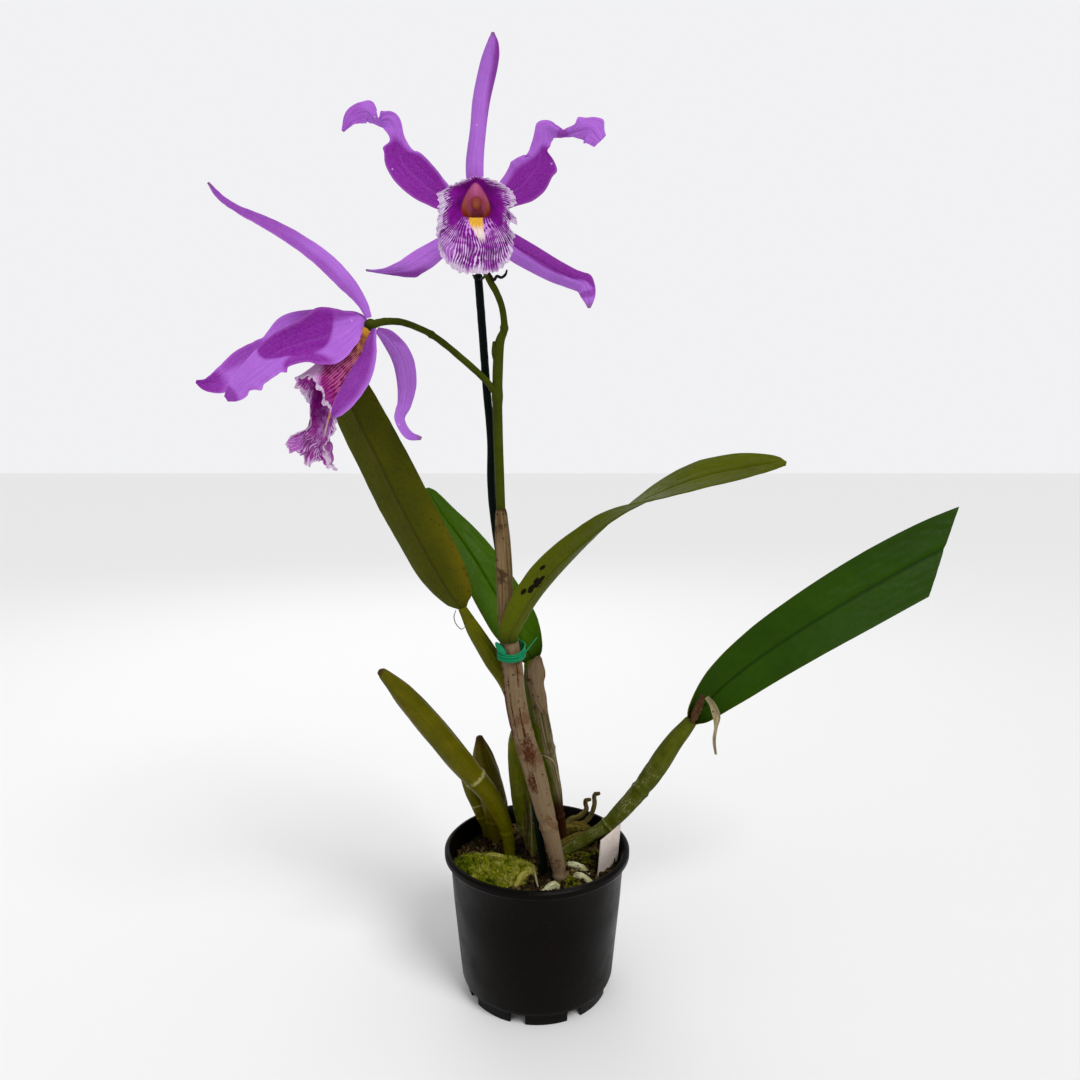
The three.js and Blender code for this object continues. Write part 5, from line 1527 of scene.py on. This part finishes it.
# %% Rows of the top bloom's tepals: rows, wave, ripples, bumps
TOP_TEPALS = {
    "dorsal_sepal": ([(0, 0.6, 4.1, 3.6, 0, 10), (-1.3, 1, 18, 9.4, 0, -30), (-1.6, 2, 32, 12, 0, -62),
        (0.5, 3, 49, 12, 4, -75), (2.8, 3, 65, 13, 8, -75), (6.8, 1, 81, 12, 6, -62),
        (9, -1, 90, 8, 0, -40), (9.4, -2, 96.5, 1.4, 0, -10)], 0, 3, ()),
    "left_petal": ([(-3.4, -0.5, 2.1, 3.6, 0, 10), (-11, -1.5, 6, 9, 4, 14), (-21, -2, 11.5, 16, 6, 22),
        (-33, -3, 20.5, 22.5, 8, 30), (-41.5, -4, 30, 20, 12, 24), (-43.6, -5.5, 40, 9.6, 8, 10),
        (-46.6, -7, 48.8, 10.5, -14, -6), (-52.6, -8.5, 48.6, 6, -48, -10),
        (-55.6, -9.2, 50.2, 7.6, -30, -14), (-59, -10, 52.6, 10.8, -16, -16),
        (-66, -12.5, 49.6, 8.4, -12, -16), (-71, -15, 41.5, 1.2, -10, 0)], 0.5, 3, ((-1, 0.425, 0.018, 2.2),
        (-1, 0.47, 0.03, -1.2), (1, 0.605, 0.016, 1.6), (1, 0.655, 0.025, -0.6), (1, 0.8, 0.02, 1.0))),
    "right_petal": ([(3.4, -0.5, 2.1, 3.6, 0, 10), (10, -1.5, 7, 10, -4, 14), (18, -2, 12.5, 17, -6, 22),
        (28, -3, 19.4, 26, -8, 30), (34.8, -4, 29, 19.4, -10, 24), (35.6, -5, 37.6, 10.8, -4, 10),
        (38.4, -6.5, 44, 11, 10, 0), (43, -7, 43.8, 7, 34, -4), (47.6, -7.5, 42.2, 5, 60, -8),
        (54.4, -8.5, 43.4, 7.4, 30, -10), (61.5, -10.5, 43.6, 14.4, 8, -14), (67.4, -13, 37, 8.6, 4, -8)],
        0.5, 3, ((1, 0.355, 0.016, 2.2), (1, 0.41, 0.03, -3.2), (-1, 0.54, 0.02, 1.0),
        (-1, 0.85, 0.016, 1.4), (-1, 0.89, 0.016, -1.0), (-1, 0.935, 0.018, 1.8))),
    "left_sepal": ([(-3.4, 0.7, -2.4, 3.4, 0, 10), (-12, 0.5, -9.4, 8, 0, -10),
        (-22.5, 0, -16.6, 11.4, -6, -30), (-30, -1, -22, 13.4, -14, -36), (-38, -3, -27.2, 12.4, -28, -36),
        (-45.5, -6, -29.4, 8.4, -48, -26), (-53.5, -9, -30.4, 3.6, -62, -14),
        (-61, -12, -30.4, 0.9, -62, 0)], 0, 3, ((-1, 0.55, 0.03, 0.8),)),
    "right_sepal": ([(3.4, 0.7, -2.4, 3.4, 0, 10), (11, 0.5, -8.5, 9, 0, -10),
        (20.5, 0, -15.5, 15.6, 0, -46), (32, -1, -22.4, 16.4, 4, -58), (42.6, -2, -28.6, 15.2, 8, -60),
        (52, -4, -33.2, 12.6, 10, -52), (59.6, -6, -36.8, 11.4, 6, -40), (62, -7, -43, 8.6, 0, -24),
        (62.6, -8, -50, 1.6, 0, 0)], 0, 3, ((-1, 0.74, 0.03, 0.9),)),
}

# %% Rows of the left bloom's tepals
LEFT_TEPALS = {
    "dorsal_sepal": ([(-0.8, 0.3, 4, 3.4, 30, 0), (-5, 0, 13.5, 7.6, 38, -20),
        (-13, -2, 24.5, 12.4, 40, -30), (-24, -4, 36, 13.5, 42, -34), (-37.5, -7, 45.5, 12.5, 44, -34),
        (-53.5, -11, 53.5, 9.5, 46, -28), (-65.5, -15, 58.5, 6.5, 48, -20),
        (-73.5, -18, 63.5, 4.4, 50, -10), (-78.5, -20, 70, 1.4, 50, 0)], 0, 3, ()),
    "near_petal": ([(-3.7, -2.4, 3, 3.2, -10, 0), (-6.6, -9, 0.4, 12, -14, 10),
        (-11.8, -17, -4, 22.6, -16, 22), (-20, -24, -8.6, 31, -14, 30), (-30, -28, -12, 22, -6, 34),
        (-41, -30, -16.4, 18.4, 0, 14), (-50.4, -30, -23.2, 17.6, 6, -14), (-60, -29, -30.4, 14, 10, -20),
        (-67, -28, -37, 12, 10, -16), (-72.4, -26.5, -41, 4, 10, 0)], 0.8, 4, ((-1, 0.42, 0.03, 1.4),
        (-1, 0.6, 0.016, 2.0), (-1, 0.76, 0.02, 2.4), (-1, 0.82, 0.02, -1.2))),
    "far_petal": ([(-2.6, 3.2, 1.6, 3.6, -10, 0), (-9, 7, 2.5, 11, -14, -14), (-24, 10, 0.6, 18, -16, -24),
        (-36, 13, -1, 22, -14, -30), (-47.6, 14, -3.4, 23, -10, -26), (-56, 13, -9, 18, -6, -16),
        (-63.6, 11, -15, 17, -4, 0), (-73.6, 8, -22.4, 20, 4, 14), (-83.5, 4, -30, 16, 8, 22),
        (-92, 1, -32.6, 8.6, 8, 20), (-98, -1, -31, 1.6, 0, 0)], 1.0, 4.5, ((1, 0.54, 0.025, -0.8),)),
    "outer_sepal": ([(3, 3, -2.2, 3.4, 10, 0), (9, 6, -7, 10, 14, -22), (15.2, 9, -17.5, 13.2, 10, -34),
        (17.4, 11, -31, 12, 4, -34), (16.2, 12, -42.5, 8.5, -14, -24), (13.4, 11, -51.4, 7, -44, -10),
        (18.4, 9, -60.4, 6, -40, -10), (26, 7, -62.6, 2, -20, 0)], 0, 3, ()),
    "inner_sepal": ([(2.2, -2.2, -2.5, 3.2, 20, 0), (1.8, -11.5, -10, 7.4, 24, -20),
        (1.2, -20, -18, 11, 18, -34), (-1.6, -27, -28.5, 13.8, 10, -40), (-5.6, -33, -38, 12, 4, -36),
        (-10, -37, -46, 8, 0, -20), (-14, -38, -51.5, 1.6, 0, 0)], 0, 3, ()),
}


# %% Crumpled tepals
def tepal_relief(seed, length, crumple, crisp):
    def relief(s, t):
        groove = -0.3 * math.exp(-(s / 0.1) ** 2)
        ribs = 0.07 * math.sin(24 * s + 3 * grain(seed, 3 * t))
        soft = crumple * grain(seed + 1.8 * s, t * length / 13)
        soft += 0.3 * crumple * grain(seed + 5 * s, t * length / 4)
        edge = crisp * s ** 4 * grain(seed + 9 + 0.6 * s, t * length / 3.2)
        return (groove + ribs + soft + edge) * smoothstep(0, 0.12, t)
    return relief


def zone(s, t, side, along, reach, length, soft=0.35):
    """1 inside an oval on the blade and 0 outside it, with a soft edge."""
    away = math.hypot((s - side) / reach, (t - along) / length)
    return 1 - smoothstep(1 - soft, 1 + soft, away)


# Where each tepal has its deep colour, partly the bloom's own deeper violet and partly painted shade
# of cupped, curled and shaded parts; a negative strength paints a part lighter. Each: side, place along,
# reach sideways and along, how soft its edge is where that isn't the usual, strength.
DEEP_AND_SHADE_ZONES = {
    "top_bloom_dorsal_sepal": [(1, 0.78, 0.7, 0.3, 0.6), (-0.2, 0.02, 1.5, 0.2, 0.3)],
    "top_bloom_left_petal": [(-0.25, 0.27, 1.2, 0.19, 0.22, 0.95), (0, 0.93, 1.5, 0.1, 0.3)],
    "top_bloom_right_petal": [(0.5, 0.27, 1.15, 0.18, 0.2, 0.95), (0, 0.72, 1.5, 0.05, 0.5)],
    "top_bloom_left_sepal": [(-0.9, 0.66, 0.7, 0.2, 0.6)],
    "top_bloom_right_sepal": [(-0.85, 0.42, 0.95, 0.4, 0.12, 0.95), (0, 0.86, 1.5, 0.035, 0.5)],
    "left_bloom_dorsal_sepal": [(0.2, 0.78, 1.3, 0.3, 0.45), (-0.9, 0.3, 0.6, 0.3, 0.3)],
    "left_bloom_near_petal": [(0.62, 0.46, 1.15, 0.2, 0.07, 0.9), (0.95, 0.24, 0.5, 0.22, 0.6),
        (-0.95, 0.47, 0.5, 0.13, 0.2, 0.7), (0, 0.98, 1.5, 0.09, 0.2, 0.6)],
    "left_bloom_far_petal": [(0.1, 0.93, 1.6, 0.13, 0.25, 0.7), (0.7, 0.66, 0.5, 0.12, 0.5),
        (0, 0.28, 1.5, 0.1, 0.4)],
    "left_bloom_outer_sepal": [(-0.9, 0.1, 0.8, 0.12, 0.25, 0.4), (0, 0.45, 1.6, 0.5, -0.12)],
    "left_bloom_inner_sepal": [(0.4, 0.45, 1.15, 0.7, 0.3, 0.7)],
}
TEPAL_THICKNESS = 0.8


def lay_tepals(bloom, centre, tepals, seed):
    for k, (part, (rows, wave, ripples, bumps)) in enumerate(tepals.items()):
        petal = "petal" in part
        length = sum((Vector(a[:3]) - Vector(b[:3])).length for a, b in zip(rows, rows[1:]))
        relief = tepal_relief(seed + k * 4.1, length, 0.6 if petal else 0.4, 0.8 if petal else 0.3)
        zones = DEEP_AND_SHADE_ZONES.get(f"{bloom}_{part}", [])

        def shade_and_dust(s, t):
            return min(1, 0.12 + sum(strength * zone(s, t, *oval) for *oval, strength in zones))

        tepal = blade(f"{bloom}_{part}_blade", rows, 40, 150, relief, centre, wave, ripples, bumps, shade_and_dust)
        thicken(tepal, TEPAL_THICKNESS, 0.35,
                (petal_upper, petal_under) if petal else (sepal_upper, sepal_under))
        dress(tepal, "tepal", f"{bloom}_{part}")


lay_tepals("top_bloom", TOP_BLOOM, TOP_TEPALS, 11)
lay_tepals("left_bloom", LEFT_BLOOM, LEFT_TEPALS, 57)

# %% [markdown]
# ## The lip and the column
# The lip is modelled as a tube that opens at the throat into a margin with frills on frills. A
# throat row is forward, half width, half height and rise; a margin row is out, down and forward,
# from the foot of the lip round to its top. The column lies along the roof of the tube.

# %% Sizes of the lips
LIP_TUBE = [(3.3, 1, 1, 0), (6, 4, 4.2, -0.2), (14, 5.2, 6.2, -0.6), (23, 6.4, 8, -0.6), (33, 8, 10.4, 0)]
TOP_LIP_RIGHT = [
    (0, 38.5, 50), (9, 37.6, 50), (16, 33, 49.5), (19.6, 25.5, 48.5), (20.4, 17.5, 47), (21.2, 10.4, 45.5),
    (20.6, 3, 44), (19.4, -3, 42.5), (15.6, -6, 41.5), (8.6, -9.6, 40.5), (0, -12.6, 40)]
TOP_LIP_LEFT = [
    (0, 38.5, 50), (9, 37.4, 50), (15.6, 32.4, 49.5), (20.4, 26.5, 48.5), (19.8, 19, 47), (18.8, 10, 45.5),
    (18.6, 3.4, 44), (18.8, -2.6, 42.5), (15.8, -4.8, 41.5), (9.4, -7.8, 40.5), (0, -12.6, 40)]
LEFT_LIP_NEAR = [
    (0, 30, 80), (9, 32, 76.6), (15, 29.3, 72), (9.4, 19.4, 69.4), (11.6, 16, 61), (12.8, 9.5, 55.4),
    (11.6, 0.6, 53.4), (11.6, -3.6, 51.8), (9.4, -7.6, 49.8), (5, -9.6, 48.4), (0, -10.3, 47.6)]
LEFT_LIP_FAR = [
    (0, 30, 80), (8, 27.4, 79.2), (15, 20.4, 78.6), (16, 16, 73.5), (8, 15.8, 67), (8, 14, 60), (10, 9, 55),
    (12, 3.7, 51.2), (14, -3.4, 51), (10, -9, 48.5), (0, -10.3, 46.6)]
COLUMN = [
    (0, 5, 0.6, 1.8), (0, 11, 1.6, 2.4), (0, 17, 2.6, 2.9), (0, 21.5, 3, 3.1), (0, 24.5, 2.4, 3),
    (0, 26.4, 1.2, 2)]
# The front lobe hangs from a narrow waist: out, down and forward, from its middle to its sides.
LEFT_LIP_WAIST = [(0, 19.5, 61), (2.6, 19, 61), (5.2, 18, 60.6), (7.4, 16, 60), (8.4, 14, 58)]
# Where a margin rolls: place round the lip, reach, how far ahead and how far in, in millimetres.
TOP_LIP_ROLLS = [
    (0.845, 0.05, -6, 2.5), (0.27, 0.022, 4.5, 5), (0.205, 0.025, 4, 5), (0.62, 0.03, -4, 1),
    (0.5, 0.04, -3, 0.5), (0.16, 0.03, -4, 1.5)]
LEFT_LIP_ROLLS = [(0.12, 0.05, 4, 3), (0.86, 0.06, 1, 4), (0.02, 0.04, -4, 2), (0.93, 0.03, -3, 2)]
LIP_FRILL = 1.1  # millimetres that the margin swings
# Centre, margins, the way forward, the way up, rolls, waist, crumple in millimetres, seed.
LIPS = {
    "top_bloom": (TOP_BLOOM, (TOP_LIP_RIGHT, TOP_LIP_LEFT), Vector((0.045, -1, 0)), Vector((0, 0, 1)),
        TOP_LIP_ROLLS, (), 0.0, 3.0),
    "left_bloom": (LEFT_BLOOM, (LEFT_LIP_NEAR, LEFT_LIP_FAR), Vector((-0.53, -0.37, -0.76)),
        Vector((-0.45, -0.75, 0.45)), LEFT_LIP_ROLLS, LEFT_LIP_WAIST, 3.4, 8.0),
}


# %% Shape a lip
ROLL_START = 0.72  # how far out on the open lip its margin starts to roll


def on_ring(row, angle):
    """A point of the tube's section: right, forward, up. It is broad below and a pointed arch above."""
    forward, half_width, half_height, rise = row
    high = (1 - math.cos(angle)) / 2
    pinch = 1 + (0.3 - 0.8 * high) * smoothstep(9, 33, forward)
    floor_share = 0.27 * smoothstep(9, 33, forward) * max(0, math.cos(angle)) ** 2
    height = half_height * math.cos(angle) * (1 - floor_share)
    return Vector((half_width * math.sin(angle) * pinch, forward, rise - height))


def apart(v, at=0.0):
    """How far v is from a place on a closed ring of length 1."""
    return abs((v - at + 0.5) % 1 - 0.5)


def lip_point(u, v, margins, rolls, waist, crumple, seed):
    """u runs out from the root of the lip, v round it from its foot."""
    angle = 2 * math.pi * v

    def rough(turns, depth=0.0):
        return grain(seed + turns * math.cos(angle), turns * math.sin(angle), depth)

    if u <= THROAT:
        return on_ring(along(LIP_TUBE, u / THROAT), angle)
    s = (u - THROAT) / (1 - THROAT)
    turn = apart(v) * 2
    side = 1 if v < 0.5 else -1
    out, down, forward = along(margins[0 if v < 0.5 else 1], turn)
    start = on_ring(LIP_TUBE[-1], angle)
    end = Vector((side * out, forward, -down))
    knee = start.lerp(end, 0.3)
    knee.y = start.y + 0.75 * (end.y - start.y)
    if waist and turn < 0.5:
        waist_out, waist_down, waist_forward = along(waist, turn / 0.4)
        narrow = Vector((side * waist_out, waist_forward, -waist_down)) * 2 - (start + end) * 0.5
        knee = knee.lerp(narrow, smoothstep(0.5, 0.36, turn))
    point = start * (1 - s) ** 2 + knee * (2 * s * (1 - s)) + end * s ** 2
    outward = Vector((point.x, 0, point.z)).normalized()
    fold, fine = math.sin(9 * angle + 2.5 * rough(1.5)), rough(9, 1.3 * s)
    push = LIP_FRILL * (s ** 3 * fold + 1.6 * s ** 4 * fine + 1.1 * s ** 8 * rough(26, 3 * s))
    push += 0.5 * rough(4, 3 * u)
    push += 0.18 * s * math.sin(66 * angle + 3 * rough(5, 2 * s))
    if crumple:
        lobe = crumple * smoothstep(0.5, 0.75, s) * smoothstep(0.42, 0.25, turn)
        wide, tall = point.x, point.z
        push += lobe * (1.5 * grain(seed + 0.16 * wide, 0.16 * tall, 2)
                        + 0.6 * grain(seed + 0.36 * wide, 0.36 * tall, 4))
        push += 0.25 * lobe * grain(seed, 0.9 * wide, 0.9 * tall)
        point.z += 0.7 * lobe * grain(seed + 0.4 * wide, 0.4 * tall, 9)
        point.x += 0.7 * lobe * grain(seed + 0.4 * wide, 0.4 * tall, 5)
    point.y -= push
    for at, reach, ahead, inward in rolls:
        near = 1 - smoothstep(0.2, 1, apart(v, at) / reach)
        bend = near * smoothstep(ROLL_START, 1, s) * (s - ROLL_START) / 0.28
        point.y += ahead * bend
        point -= outward * (inward * bend)
    scallop = math.sin(40 * angle + 4 * rough(6))
    torn = s ** 6 * (0.45 * scallop + 0.7 * rough(20, 8))
    return point + outward * (torn + 0.35 * LIP_FRILL * s ** 4 * fine)


def lip_dust(u, v):
    """1 on the crumpled front lobe, 0 on the rest."""
    return smoothstep(0.72, 0.85, u) * smoothstep(0.45, 0.3, apart(v) * 2)


# %% Lay each lip and its column
LIP_AROUND, LIP_STEPS, LIP_THICKNESS = 288, 96, 0.55
for bloom, (centre, margins, forward, up, rolls, waist, crumple, seed) in LIPS.items():
    ahead = forward.normalized()
    right = up.cross(ahead).normalized()
    above = ahead.cross(right)
    middle = Vector(centre)

    def lip_place(i, j):
        point = lip_point(j / LIP_STEPS, i / LIP_AROUND % 1, margins, rolls, waist, crumple, seed)
        return middle + right * point.x + ahead * point.y + above * point.z

    def dust(i, j):
        return lip_dust(j / LIP_STEPS, i / LIP_AROUND)

    lip = laid_grid(bloom + "_lip_sheet", LIP_AROUND, LIP_STEPS, lip_place, ring=True,
                    shade_and_dust=dust if crumple else None)
    lip.data.materials.append(lip_back)
    lip.data.materials.append(LIP_FACES[bloom])
    apply(lip, "SOLIDIFY", thickness=LIP_THICKNESS * MM, offset=0, material_offset=1, material_offset_rim=1)
    smooth_by_angle(lip, 60)
    dress(lip, "lip", bloom + "_lip")

    rows = [(*(middle + right * x + ahead * y + above * z), radius) for x, y, z, radius in COLUMN]
    column = stalk(bloom + "_column_body", rows, 32, 70, root_relief(seed, 0.25), reference=above)
    dress(column, "column", bloom + "_column", finish=column_flesh)

# %% [markdown]
# ## Measure and finish
# Both boxes, the imported model's and the dressed plant's, are printed. The dressed plant has
# to stay inside the imported model's box.

# %% Print both sizes
visual_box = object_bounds()
sizes = {"cad": [list(corner) for corner in cad_box], "visual": [list(corner) for corner in visual_box]}
for which, (low, high) in sizes.items():
    print(which, "box in mm:", [round(c / MM, 1) for c in low], [round(c / MM, 1) for c in high])
faces = sum(len(piece.data.polygons) for piece in bpy.data.objects if piece.type == "MESH")
print("faces in all:", faces)
